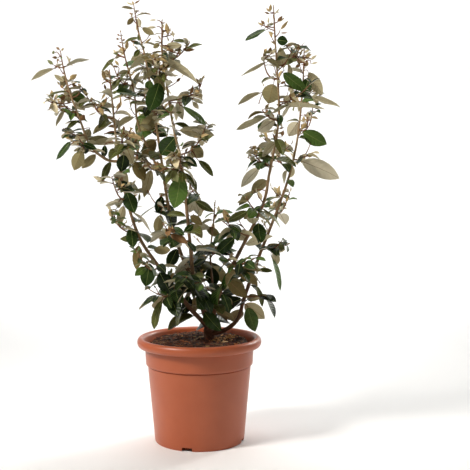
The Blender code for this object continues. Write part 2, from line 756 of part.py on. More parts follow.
def build_mass(shoot, twigs, leaves, section, parts, material):
    """One mass of foliage, a shoot with its twigs and leaves in one solid, if it comes out closed."""
    line = shoot["line"]
    sizes = [np.interp(share, (0, 1), SHOOT_RADIUS) for share in lengths_along(line)]
    mass = add_object(shoot["name"], tube_mesh(line, sizes, section=section), parts, material)
    pieces = collection_of("mass_pieces")
    for twig in twigs:
        sizes = [np.interp(share, (0, 1), TWIG_RADIUS) for share in lengths_along(twig)]
        add_object("twig", tube_mesh(twig, sizes, section=section), pieces)
    for template, frame in leaves:
        leaf = add_object("leaf", template, pieces)
        leaf.matrix_world = frame
    if join(mass, pieces):
        return True
    bpy.data.objects.remove(mass, do_unlink=True)
    return False


def grow_mass(owner, shoot, space, templates, section, parts, material):
    """A shoot's mass, thrown again with other dice until it closes. Returns its count of leaves."""
    for attempt in range(MASS_TRIES):
        dice = random.Random(SEED + owner + attempt * len(space.starts))
        twigs, leaves = place_leaves(owner, shoot, space, templates, dice)
        if build_mass(shoot, twigs, leaves, section, parts, material):
            return len(leaves)
    raise ValueError(f"{shoot['name']} never closes")


def main():
    clear_scene()
    parts = collection_of("potted_silverberry")
    cutters = collection_of("cutters_and_guides")
    terracotta = principled("terracotta_plastic", TERRACOTTA, 0.45)
    compost = principled("bark_compost", COMPOST_BROWN, 0.95)
    bark = principled("silverberry_bark", BARK_BROWN, 0.8)
    green = principled("leaf_green", LEAF_GREEN, 0.4)
    silver = principled("leaf_silver", LEAF_SILVER, 0.6)
    build_pot(parts, cutters, terracotta)
    build_soil(parts, compost)
    limbs, arms = lay_out_limbs()
    build_trunk(arms, parts, bark)
    for name, limb in limbs.items():
        kind = "bough" if "from" in LIMBS[name] else "stem"
        add_object(f"{kind}_{name}", tube_mesh(limb["line"], limb["sizes"]), parts, bark)
    templates = (leaf_template(6), leaf_template(4))
    section = triangle_section(cutters)
    shoots = plan_shoots(limbs)
    space = Space(shoots, limbs)
    leaves = 0
    for owner, shoot in enumerate(shoots):
        material = silver if shoot["line"][0].z > SILVER_FROM else green
        leaves += grow_mass(owner, shoot, space, templates, section, parts, material)
    print(f"{len(shoots)} masses with {leaves} leaves")


main()
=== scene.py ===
import json
import math
import random

import bpy
import numpy as np
from mathutils import Matrix, Vector, noise
from mathutils.bvhtree import BVHTree

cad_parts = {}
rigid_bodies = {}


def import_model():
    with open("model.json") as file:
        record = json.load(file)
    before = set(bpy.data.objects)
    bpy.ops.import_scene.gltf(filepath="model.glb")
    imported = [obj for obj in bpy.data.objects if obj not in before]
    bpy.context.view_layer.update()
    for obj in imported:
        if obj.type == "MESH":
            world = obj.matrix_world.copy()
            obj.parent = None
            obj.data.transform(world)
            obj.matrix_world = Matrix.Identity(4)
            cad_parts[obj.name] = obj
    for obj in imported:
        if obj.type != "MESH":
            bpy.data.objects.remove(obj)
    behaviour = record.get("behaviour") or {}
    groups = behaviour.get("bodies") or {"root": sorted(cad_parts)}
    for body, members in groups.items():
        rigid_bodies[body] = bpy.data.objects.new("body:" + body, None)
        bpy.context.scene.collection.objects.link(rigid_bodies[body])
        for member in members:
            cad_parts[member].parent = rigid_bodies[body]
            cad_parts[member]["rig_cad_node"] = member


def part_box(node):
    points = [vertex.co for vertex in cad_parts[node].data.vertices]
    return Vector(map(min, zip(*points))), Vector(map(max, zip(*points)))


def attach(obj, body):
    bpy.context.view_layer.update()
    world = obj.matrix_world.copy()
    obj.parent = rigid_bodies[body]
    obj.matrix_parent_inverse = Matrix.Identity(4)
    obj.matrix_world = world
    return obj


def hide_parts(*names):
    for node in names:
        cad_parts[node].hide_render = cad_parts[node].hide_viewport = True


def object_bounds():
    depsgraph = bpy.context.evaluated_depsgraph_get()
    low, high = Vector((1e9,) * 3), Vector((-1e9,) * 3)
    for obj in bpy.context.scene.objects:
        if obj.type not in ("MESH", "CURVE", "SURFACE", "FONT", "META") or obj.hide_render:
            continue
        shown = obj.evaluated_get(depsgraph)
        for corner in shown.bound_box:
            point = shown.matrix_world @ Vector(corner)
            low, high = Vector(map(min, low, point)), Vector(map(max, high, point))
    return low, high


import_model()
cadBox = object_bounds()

# A potted ebbinge silverberry. Metres, +Z up, +X to the viewer's right, -Y towards the viewer.
# The plant's tables are in millimetres and degrees; a bearing is 0 along +X and 90 along +Y.
mm = 0.001


# Small helpers

def linear(hexColour):
    parts = [int(hexColour[i:i + 2], 16) / 255 for i in (1, 3, 5)]
    return [p / 12.92 if p <= 0.04045 else ((p + 0.055) / 1.055) ** 2.4 for p in parts] + [1.0]


def heading(bearing, pitch=0.0):
    turn, rise = math.radians(bearing), math.radians(pitch)
    return Vector((math.cos(rise) * math.cos(turn), math.cos(rise) * math.sin(turn), math.sin(rise)))


def frameAt(root, along, upper):
    # a leaf's own axes at its root: X along the leaf, Z to its upper side
    return Matrix.Translation(root) @ Matrix((along, upper.cross(along), upper)).transposed().to_4x4()


def asArray(points):
    return points if isinstance(points, np.ndarray) else np.array([tuple(point) for point in points])


def addNode(material, kind, settings=None):
    # adds a shader node and gives back its outputs; a setting is one of the node's own values, an
    # input socket's value, or another node's output that feeds that socket
    node = material.node_tree.nodes.new("ShaderNode" + kind)
    for name, value in (settings or {}).items():
        if isinstance(value, bpy.types.NodeSocket):
            material.node_tree.links.new(value, node.inputs[name])
        elif isinstance(name, str) and hasattr(node, name):
            setattr(node, name, value)
        else:
            node.inputs[name].default_value = value
    return node.outputs


def newMaterial(name, colour, roughness, ior=1.45, **sockets):
    # a material whose plain values are set on its Principled shader's own sockets
    material = bpy.data.materials.new(name)
    material.use_nodes = True
    shader = material.node_tree.nodes["Principled BSDF"]
    shader.inputs["Base Color"].default_value = linear(colour)
    shader.inputs["Roughness"].default_value = roughness
    shader.inputs["IOR"].default_value = ior
    for socket, value in sockets.items():
        shader.inputs[socket.replace("_", " ")].default_value = value
    material.diffuse_color = linear(colour)
    return material


def feedShader(material, **sources):
    shader = material.node_tree.nodes["Principled BSDF"]
    for socket, source in sources.items():
        material.node_tree.links.new(source, shader.inputs[socket.replace("_", " ")])


def addObject(name, mesh, materials, body="root", smooth=True):
    made = bpy.data.objects.new(name, mesh)
    bpy.context.scene.collection.objects.link(made)
    for material in materials:
        mesh.materials.append(material)
    if smooth:
        mesh.shade_smooth()
    if body:
        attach(made, body)
    return made


class Heap:
    # gathers many small shapes, which become one mesh

    def __init__(self):
        self.points, self.faces, self.slots, self.places, self.rims = [], [], [], [], []
        self.count = 0

    def add(self, points, faces, slots, places=None, rims=None):
        # slots: one for each face or one for all; places: a UV for each point; rims: sharp points
        self.points.append(points)
        self.faces += [[corner + self.count for corner in face] for face in faces]
        self.slots += list(slots) if hasattr(slots, "__len__") else [slots] * len(faces)
        self.places.append(np.zeros((len(points), 2)) if places is None else places)
        self.rims.append(np.zeros(len(points), bool) if rims is None else rims)
        self.count += len(points)

    def addTube(self, line, radii, sides, slot, mapped=True):
        points, faces, places = tube(line, radii, sides)
        self.add(points, faces, slot, places if mapped else None)

    def mesh(self, name):
        mesh = bpy.data.meshes.new(name)
        mesh.from_pydata(np.concatenate(self.points).tolist(), [], self.faces)
        mesh.polygons.foreach_set("material_index", self.slots)
        corners = np.empty(len(mesh.loops), np.int32)
        mesh.loops.foreach_get("vertex_index", corners)
        mapped = mesh.uv_layers.new(name="SurfaceMap")
        mapped.uv.foreach_set("vector", np.concatenate(self.places)[corners].ravel().astype(np.float32))
        rims = np.concatenate(self.rims)
        if rims.any():
            ends = np.empty(len(mesh.edges) * 2, np.int32)
            mesh.edges.foreach_get("vertices", ends)
            sharp = mesh.attributes.new("sharp_edge", "BOOLEAN", "EDGE")
            sharp.data.foreach_set("value", rims[ends.reshape(-1, 2)].all(1))
        return mesh


def lathe(profile, steps):
    # a profile of (radius, height) turned about the upright axis; a point on the axis stays one
    points, rings, faces = [], [], []
    for radius, height in profile:
        turns = 1 if radius < 1e-7 else steps
        rings.append([len(points) + i for i in range(turns)])
        for i in range(turns):
            angle = 2 * math.pi * i / steps
            points.append((radius * math.cos(angle), radius * math.sin(angle), height))
    for low, high in zip(rings, rings[1:]):
        for i in range(steps):
            j = (i + 1) % steps
            face = [low[i % len(low)], low[j % len(low)], high[j % len(high)], high[i % len(high)]]
            faces.append(list(dict.fromkeys(face)))
    return np.array(points), faces


def tube(line, radii, sides):
    # rings round a line; radii are one for each point or one for each point and side, in metres
    line = asArray(line)
    along = np.gradient(line, axis=0)
    along /= np.linalg.norm(along, axis=1)[:, None]
    side = np.cross(along[0], (0.31, 0.17, 0.93))  # any direction that no line here runs in
    turns = 2 * np.pi * np.arange(sides) / sides
    radii = np.broadcast_to(np.reshape(radii, (len(line), -1)), (len(line), sides))
    rings, places = [], []
    run = np.concatenate([[0], np.cumsum(np.linalg.norm(np.diff(line, axis=0), axis=1))])
    for i, middle in enumerate(line):
        side = side - along[i] * side.dot(along[i])
        side /= np.linalg.norm(side)
        other = np.cross(along[i], side)
        rings.append(middle + radii[i][:, None] * (np.cos(turns)[:, None] * side
                                                   + np.sin(turns)[:, None] * other))
        girth = radii[0].mean() * np.abs(turns - np.pi)  # mirrored, so that no seam shows
        places.append(np.stack([girth, np.full(sides, run[i])], 1) / mm)
    faces = [list(range(sides))[::-1]]
    for i in range(len(line) - 1):
        for j in range(sides):
            k = (j + 1) % sides
            faces.append([i * sides + j, i * sides + k, (i + 1) * sides + k, (i + 1) * sides + j])
    faces.append([(len(line) - 1) * sides + j for j in range(sides)])
    return np.concatenate(rings), faces, np.concatenate(places)


def lengthOf(line):
    return sum((b - a).length for a, b in zip(line, line[1:]))


def sharesAlong(line):
    runs = [(b - a).length for a, b in zip(line, line[1:])]
    along = np.concatenate([[0.0], np.cumsum(runs)])
    return along / along[-1]


def pointAlong(line, share):
    shares = sharesAlong(line)
    i = min(int(np.searchsorted(shares, share, side="right")), len(line) - 1)
    u = (share - shares[i - 1]) / (shares[i] - shares[i - 1])
    return line[i - 1].lerp(line[i], u)


def arc(start, bend, end, steps):
    shares = [i / steps for i in range(steps + 1)]
    return [start * (1 - u) ** 2 + bend * 2 * u * (1 - u) + end * u ** 2 for u in shares]


def between(low, high, share):
    return low + (high - low) * share


# Camera: level with the middle of the crown and looking down a little, as the photograph does

cameraPlan = {
    "place": (0.0689, -1.7844, 0.5296),  # metres
    "tilt": 4.18,  # degrees below level
    "lens": 71.3,  # mm
    "sensor": 36.0,
    "pixels": 470,  # the photograph's side
}
tilt = math.radians(cameraPlan["tilt"])
focal = cameraPlan["lens"] / cameraPlan["sensor"] * cameraPlan["pixels"]  # in pixels
centre = cameraPlan["pixels"] / 2
eye = Vector(cameraPlan["place"])


def makeCamera(plan):
    data = bpy.data.cameras.new("camera")
    data.lens, data.sensor_width = plan["lens"], plan["sensor"]
    made = bpy.data.objects.new("camera", data)
    made.location = plan["place"]
    made.rotation_euler = (math.radians(90 - plan["tilt"]), 0, 0)
    bpy.context.scene.collection.objects.link(made)
    bpy.context.scene.camera = made


def sightLine(x, y):
    # the direction from the camera to a pixel of the photograph
    across, up = (x - centre) / focal, (centre - y) / focal
    return Vector((across, math.cos(tilt) + up * math.sin(tilt), up * math.cos(tilt) - math.sin(tilt)))


def pixelAtDepth(x, y, depth):
    sight = sightLine(x, y)
    return eye + sight * ((depth - eye.y) / sight.y)


def pixelAtLevel(x, y, level):
    sight = sightLine(x, y)
    return eye + sight * ((level - eye.z) / sight.z)


def pixelOf(points):
    x, y, z = (asArray(points) - np.array(cameraPlan["place"])).T
    depth = y * math.cos(tilt) - z * math.sin(tilt)
    up = y * math.sin(tilt) + z * math.cos(tilt)
    return np.stack([centre + focal * x / depth, centre - focal * up / depth], 1)


makeCamera(cameraPlan)
print("camera made")


# Studio: a pale floor that curves up into a wall, and soft lights

studioPlan = {
    "floorRadius": 2.6, "curve": 1.0, "wallTop": 3.4, "steps": 96,  # metres
    "floorColour": "#FBFBFA",
    "sky": "#F6F6F6", "skyStrength": 0.035,
    "lights": {  # place, aim, width, watts, spread in degrees, colour
        "keyLight": ((-2.1, -1.4, 2.4), (0, 0, 0.36), 0.9, 11.0, 60, "#FFFAF4"),
        "rimLight": ((1.5, 1.5, 1.3), (0, 0, 0.25), 0.8, 2.4, 50, "#FFFDF8"),
        "floorLight": ((0.0, 1.2, 3.0), (0, 1.0, 0), 2.0, 20, 110, "#FFFFFF"),
        "wallLight": ((0.0, 1.2, 2.6), (0, 3.6, 1.0), 2.0, 40, 120, "#FFFFFF"),
    },
}


def makeStudio(plan):
    # painted board: matt and almost white, with a grain that can barely be seen
    painted = newMaterial("paintedStudioFloor", plan["floorColour"], 0.85)
    where = addNode(painted, "TexCoord")["Object"]
    grain = addNode(painted, "TexNoise", {"Scale": 40.0, "Detail": 4.0, "Vector": where})[0]
    feedShader(painted, Normal=addNode(painted, "Bump", {"Strength": 0.04, "Height": grain})[0])
    flat, curve = plan["floorRadius"], plan["curve"]
    profile = [(0.0, 0.0), (flat / 2, 0.0), (flat, 0.0)]
    for angle in range(10, 91, 10):
        turn = math.radians(angle)
        profile.append((flat + curve * math.sin(turn), curve * (1 - math.cos(turn))))
    profile.append((flat + curve, plan["wallTop"]))
    points, faces = lathe(profile, plan["steps"])
    heap = Heap()
    heap.add(points, [face[::-1] for face in faces], 0)
    floor = addObject("studioFloor", heap.mesh("studioFloor"), [painted], body=None)
    for name, (place, aim, width, watts, spread, colour) in plan["lights"].items():
        data = bpy.data.lights.new(name, "AREA")
        data.shape, data.size, data.energy = "DISK", width, watts
        data.spread, data.color = math.radians(spread), linear(colour)[:3]
        light = bpy.data.objects.new(name, data)
        light.location = place
        light.rotation_euler = (Vector(aim) - Vector(place)).to_track_quat("-Z", "Y").to_euler()
        bpy.context.scene.collection.objects.link(light)
    world = bpy.data.worlds.new("studioSky")
    world.use_nodes = True
    sky = world.node_tree.nodes["Background"]
    sky.inputs["Color"].default_value = linear(plan["sky"])
    sky.inputs["Strength"].default_value = plan["skyStrength"]
    bpy.context.scene.world = world
    bpy.context.scene.view_settings.view_transform = "Standard"  # keeps the colours as they are named


makeStudio(studioPlan)
print("studio made")


# Pot: injection-moulded polypropylene in terracotta colour, 24 cm across its rolled rim

potPlan = {
    "steps": 160,
    "roll": {"width": 7.0, "height": 9.3, "angles": range(118, -66, -8)},  # half an oval round the rim
    "inside": ((0, 7), (81.2, 7), (84.2, 10), (97.2, 147.4), (100.7, 152.6), (102.4, 178.8),
               (103.4, 188.5), (104.1, 191), (105.4, 195.6), (106, 197.5), (107.1, 199.3)),  # floor to lip
    "outside": ((105.7, 184.5), (105, 184), (104.7, 178), (103.5, 155), (103.3, 151.2),  # collar
                (102.88, 150.42), (102.1, 150), (98.4, 150.3), (98.4, 148.6), (99.8, 147.76),  # its groove
                (87.7, 12), (86.8, 3.2), (86.16, 1.12), (85.2, 0), (71.8, 0),  # body and foot ring
                (69.8, 3), (30, 3), (28, 0), (0, 0)),  # recess and disc
    "foot": 86.8, "sharp": 40,
    "drains": 4, "firstDrain": 76, "drainWidth": 20.0, "drainDepth": 30.0, "drainFrom": -2.0, "drainTo": 7.5,
}


def terracottaPlastic():
    # polypropylene, moulded: satin, with a fine grain from the tool, faint scuffs and a little
    # compost dust inside, just above the fill
    made = newMaterial("terracottaPolypropylene", "#AC5733", 0.42, 1.49, Specular_IOR_Level=0.48)
    where = addNode(made, "TexCoord")["Object"]
    cloud = addNode(made, "TexNoise", {"Scale": 1 / (38 * mm), "Detail": 3.0, "Vector": where})[0]
    tone = addNode(made, "Mix", {"data_type": "RGBA", 0: cloud, 6: linear("#A65230"),
                                 7: linear("#B25D39")})[2]
    stretch = addNode(made, "Mapping", {"Scale": (1, 1, 0.16), "Vector": where})[0]
    scuffs = addNode(made, "TexNoise", {"Scale": 1 / (2.2 * mm), "Detail": 5.0, "Roughness": 0.7,
                                        "Vector": stretch})[0]
    faint = addNode(made, "MapRange", {"From Min": 0.62, "From Max": 0.80, "To Max": 0.35,
                                       "Value": scuffs})[0]
    worn = addNode(made, "Mix", {"data_type": "RGBA", 0: faint, 6: tone, 7: linear("#BB6C4A")})[2]
    x, y, height = addNode(made, "SeparateXYZ", {0: where})
    flat = addNode(made, "CombineXYZ", {0: x, 1: y})[0]
    radius = addNode(made, "VectorMath", {"operation": "LENGTH", 0: flat})["Value"]
    specks = addNode(made, "TexNoise", {"Scale": 1 / (3.5 * mm), "Detail": 6.0, "Roughness": 0.75,
                                        "Vector": where})[0]
    dust = None
    for source, none, full in ((radius, 0.1052, 0.1035), (height, 0.1865, 0.1840), (height, 0.182, 0.186),
                               (specks, 0.50, 0.66)):
        part = addNode(made, "MapRange", {"From Min": none, "From Max": full, "Value": source})[0]
        dust = addNode(made, "Math", {"operation": "MULTIPLY", 0: dust, 1: part})[0] if dust else part
    soiled = addNode(made, "Mix", {"data_type": "RGBA", 0: dust, 6: worn, 7: linear("#5A3B2A")})[2]
    rough = addNode(made, "MapRange", {"To Min": 0.30, "To Max": 0.46, "Value": scuffs})[0]
    grain = addNode(made, "TexNoise", {"Scale": 1 / (0.9 * mm), "Detail": 2.0, "Vector": where})[0]
    bump = addNode(made, "Bump", {"Strength": 0.10, "Distance": 0.25 * mm, "Height": grain})[0]
    feedShader(made, Base_Color=soiled, Roughness=rough, Normal=bump)
    return made


def makePot(plan):
    low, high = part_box("pot")
    rim, top = (high.x - low.x) / 2, high.z
    width, height = plan["roll"]["width"] * mm, plan["roll"]["height"] * mm
    inside, outside = ([(r * mm, z * mm) for r, z in plan[side]] for side in ("inside", "outside"))
    roll = [(rim - width + width * math.cos(turn), top - height + height * math.sin(turn))
            for turn in map(math.radians, plan["roll"]["angles"])]
    points, faces = lathe(inside + roll + outside, plan["steps"])
    heap = Heap()
    heap.add(points, [face[::-1] for face in faces], 0)
    pot = addObject("potShell", heap.mesh("potShell"), [terracottaPlastic()], body=None)
    cutters = []
    for i in range(plan["drains"]):
        bearing = plan["firstDrain"] + i * 360 / plan["drains"]
        bpy.ops.mesh.primitive_cube_add(size=1)
        cutter = bpy.context.object
        cutter.location = heading(bearing) * plan["foot"] * mm
        cutter.location.z = (plan["drainFrom"] + plan["drainTo"]) / 2 * mm
        cutter.rotation_euler.z = math.radians(bearing)
        cutter.scale = (plan["drainDepth"] * mm, plan["drainWidth"] * mm,
                        (plan["drainTo"] - plan["drainFrom"]) * mm)
        drain = pot.modifiers.new("drain", "BOOLEAN")
        drain.operation, drain.object = "DIFFERENCE", cutter
        cutters.append(cutter)
    bpy.context.view_layer.update()
    cut = bpy.data.meshes.new_from_object(pot.evaluated_get(bpy.context.evaluated_depsgraph_get()))
    pot.modifiers.clear()
    pot.data = cut
    for cutter in cutters:
        bpy.data.objects.remove(cutter, do_unlink=True)
    cut.shade_smooth()
    cut.set_sharp_from_angle(angle=math.radians(plan["sharp"]))
    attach(pot, "root")
    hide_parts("pot")


makePot(potPlan)
print("pot made")


# Compost: peat and composted bark, loose and uneven, with bark chips, fibres and twiglets on it

compostPlan = {
    "rings": 56, "steps": 168, "depth": 17.0, "heap": 8.5, "slump": 82.0, "fall": 16.0,
    "lumps": ((19.0, 2.3), (7.0, 1.3), (3.0, 0.7)),  # size and height
    "trunk": (18, 0), "trunkMound": 2.2, "trunkRoom": 17.0,
    "chips": 960, "chipLength": (2.5, 8.5), "chipWidth": (0.25, 0.6), "chipThickness": (0.1, 0.25),
    "chipTilt": (0.3, 0.22), "chipCorner": (0.55, 1.1),
    "chipColours": (7, 9, 8, 2, 1, 0.4, 0.1, 0),  # how often each of the colours below comes
    "paleColours": (0, 0, 0, 14, 0, 5, 36, 30),  # and how much more often in a pale heap
    "paleHeap": ((219, 344, 14), (231, 341, 10)),  # pixels: where pale chips gather, and how wide in mm
    "paleDepth": 1.3, "paleReach": 1.6,
    "fibres": 170, "fibreLength": (8, 30), "fibreBend": 0.9, "fibreHump": (0.2, 1.0),
    "fibreRadius": (0.22, 0.5), "fibreColours": (5, 8, 8, 2, 3, 1, 0.6, 0.2), "fibreRoom": 0.72,
    "offTrunk": {"chips": 12, "fibres": 13}, "offWall": {"chips": 5, "fibres": 2, "strands": 6},
    "strandWander": 0.6,
    "strands": (  # pixels from and to, thickness in mm and colour
        (194, 344.4, 206, 341.0, 1.5, 5), (170, 341, 178, 340, 0.9, 4), (220.6, 341, 223.2, 339, 1.2, 6),
        (180, 345, 190, 347, 0.7, 3), (173, 343, 183, 345, 0.8, 4), (236, 341, 243, 343, 0.9, 4),
    ),
    "colours": ("#1E0D06", "#401C0C", "#6A3214", "#985A2A", "#5E4836", "#A08662", "#D8A468", "#EAC896"),
}


def compostMaterials(plan):
    # peat and composted bark: crumbly and dull, nearly black where damp
    peat = newMaterial("peatCompost", "#2E1D14", 0.95)
    where = addNode(peat, "TexCoord")["Object"]
    crumbs = addNode(peat, "TexNoise", {"Scale": 1 / (3.2 * mm), "Detail": 8.0, "Roughness": 0.7,
                                        "Vector": where})[0]
    damp = addNode(peat, "Mix", {"data_type": "RGBA", 0: crumbs, 6: linear("#120804"),
                                 7: linear("#432410")})[2]
    bits = addNode(peat, "TexVoronoi", {"Scale": 1 / (2.4 * mm), "Vector": where})["Color"]
    shade = addNode(peat, "SeparateColor", {0: bits})[0]
    pale = addNode(peat, "MapRange", {"From Min": 0.86, "From Max": 0.9, "Value": shade})[0]
    flecked = addNode(peat, "Mix", {"data_type": "RGBA", 0: pale, 6: damp, 7: linear("#86552C")})[2]
    bump = addNode(peat, "Bump", {"Strength": 0.9, "Distance": 0.8 * mm, "Height": crumbs})[0]
    feedShader(peat, Base_Color=flecked, Normal=bump)
    woods = []
    for number, colour in enumerate(plan["colours"], 1):
        # bark and wood chips: split and fibrous, dull, from damp dark bark to dry cream wood
        wood = newMaterial(f"barkChip{number}", colour, 0.9)
        where = addNode(wood, "TexCoord")["Object"]
        grain = addNode(wood, "TexNoise", {"Scale": 1 / (0.8 * mm), "Detail": 4.0, "Vector": where})[0]
        bump = addNode(wood, "Bump", {"Strength": 0.6, "Distance": 0.3 * mm, "Height": grain})[0]
        rough = addNode(wood, "MapRange", {"To Min": 0.78, "To Max": 0.98, "Value": grain})[0]
        feedShader(wood, Normal=bump, Roughness=rough)
        woods.append(wood)
    return peat, woods


def compostLevel(x, y, plan, top, radius):
    # the height of the loose surface at a place, in metres
    away = math.hypot(x, y) / radius
    level = top + plan["heap"] * mm
    for size, rise in plan["lumps"]:
        level += rise * mm * noise.noise(Vector((x, y, 0.3 * size)) / (size * mm))
    slump = max(0.0, (away * radius / mm - plan["slump"]) / (radius / mm - plan["slump"]))
    level -= plan["fall"] * mm * slump ** 1.5
    near = fromTrunk(x, y, plan) / plan["trunkRoom"]
    return level + plan["trunkMound"] * mm * math.exp(-near * near)


def fromTrunk(x, y, plan):
    return math.hypot(x / mm - plan["trunk"][0], y / mm - plan["trunk"][1])


def scatterChips(litter, plan, top, radius, dice):
    corner = np.array([(x, y, z) for x in (-1, 1) for y in (-1, 1) for z in (-1, 1)], float)
    block = [[0, 1, 3, 2], [4, 6, 7, 5], [0, 4, 5, 1], [2, 3, 7, 6], [0, 2, 6, 4], [1, 5, 7, 3]]
    heaps = [(*pixelAtLevel(x, y, top)[:2], width * mm) for x, y, width in plan["paleHeap"]]
    made = 0
    while made < plan["chips"]:
        if made % 2:
            middle = dice.choice(heaps)
            x = dice.gauss(middle[0], middle[2])
            y = dice.gauss(middle[1], middle[2] * plan["paleDepth"])
        else:
            x, y = dice.uniform(-1, 1) * radius, dice.uniform(-1, 1) * radius
        far = math.hypot(x, y) > radius - plan["offWall"]["chips"] * mm
        if far or fromTrunk(x, y, plan) < plan["offTrunk"]["chips"]:
            made += far  # one past the wall is left out, and one at the trunk is thrown again
            continue
        pale = sum(math.exp(-((x - a) ** 2 + (y - b) ** 2) / (plan["paleReach"] * c * c))
                   for a, b, c in heaps)
        weights = [plain + more * pale for plain, more in zip(plan["chipColours"], plan["paleColours"])]
        colour = dice.choices(range(8), weights)[0]
        length = dice.uniform(*plan["chipLength"]) * mm / 2
        size = np.array((length, length * dice.uniform(*plan["chipWidth"]),
                         length * dice.uniform(*plan["chipThickness"])))
        shape = corner * size * [[dice.uniform(*plan["chipCorner"]) for _ in range(3)] for _ in range(8)]
        turned = Matrix.Rotation(dice.uniform(0, 6.28), 3, "Z")
        for axis, tilted in zip("XY", plan["chipTilt"]):
            turned = turned @ Matrix.Rotation(dice.gauss(0, tilted), 3, axis)
        level = compostLevel(x, y, plan, top, radius) + size[2] * 0.8
        litter.add(shape @ np.array(turned).T + (x, y, level), block, colour)
        made += 1


def scatterFibres(litter, plan, top, radius, dice):
    for _ in range(plan["fibres"]):
        angle, away = dice.uniform(0, 6.28), radius * math.sqrt(dice.uniform(0.0, plan["fibreRoom"]))
        middle = Vector((math.cos(angle) * away, math.sin(angle) * away, 0))
        if fromTrunk(middle.x, middle.y, plan) < plan["offTrunk"]["fibres"]:
            continue
        turn, bend = dice.uniform(0, 6.28), dice.uniform(-plan["fibreBend"], plan["fibreBend"])
        length = dice.uniform(*plan["fibreLength"]) * mm
        line = []
        for i in range(7):
            at = middle + Vector((math.cos(turn), math.sin(turn), 0)) * length * (i / 6 - 0.5)
            hump = dice.uniform(*plan["fibreHump"]) * mm
            line.append((at.x, at.y, compostLevel(at.x, at.y, plan, top, radius) + hump))
            turn += bend / 6
        if max(math.hypot(x, y) for x, y, _ in line) < radius - plan["offWall"]["fibres"] * mm:
            thickness = dice.uniform(*plan["fibreRadius"]) * mm
            colour = dice.choices(range(8), plan["fibreColours"])[0]
            litter.addTube(line, [thickness] * 7, 4, colour, mapped=False)


def layStrands(litter, plan, top, radius):
    # the few longer strands that the photograph shows
    for x1, y1, x2, y2, thick, colour in plan["strands"]:
        start, end = pixelAtLevel(x1, y1, top), pixelAtLevel(x2, y2, top)
        line = []
        for i in range(8):
            wander = Vector((math.sin(i * 1.7), math.cos(i * 1.3), 0)) * plan["strandWander"] * mm
            at = start.lerp(end, i / 7) + wander
            inward = min(1, (radius - plan["offWall"]["strands"] * mm) / math.hypot(at.x, at.y))
            at = Vector((at.x * inward, at.y * inward, 0))
            line.append((at.x, at.y, compostLevel(at.x, at.y, plan, top, radius) + thick * 0.8 * mm))
        sizes = [thick * mm * (0.8 + 0.1 * math.sin(i * 2.1)) for i in range(8)]
        litter.addTube(line, sizes, 6, colour, mapped=False)


def makeCompost(plan):
    low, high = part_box("compost")
    radius, top = (high.x - low.x) / 2, high.z
    peat, woods = compostMaterials(plan)
    rings, steps = plan["rings"], plan["steps"]
    profile = [(0.0, top - plan["depth"] * mm), (radius - 0.6 * mm, top - plan["depth"] * mm)]
    profile += [(radius * (1 - i / rings), top) for i in range(rings + 1)]
    points, faces = lathe(profile, steps)
    for i in range(steps + 1, len(points)):
        x, y = points[i, :2]
        points[i, 2] = compostLevel(x, y, plan, top, radius)
    heap = Heap()
    heap.add(points, faces, 0)
    bed = addObject("compostBed", heap.mesh("compostBed"), [peat])
    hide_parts("compost")
    litter, dice = Heap(), random.Random(41)
    scatterChips(litter, plan, top, radius, dice)
    scatterFibres(litter, plan, top, radius, dice)
    layStrands(litter, plan, top, radius)
    addObject("compostLitter", litter.mesh("compostLitter"), woods, smooth=False)


makeCompost(compostPlan)
print("compost made")


# Limbs: the same routes as the solids. They go back to rows that a scratch script worked out from
# points of the photograph, some changed by hand. Each gives the points of its middle line, its radius
# at foot and tip, and its shoots: height, bearing, length, rise, and the leaves that shape the crown
# (place along the shoot, bearing, pitch, length, and how far the upper side turns to the viewer).

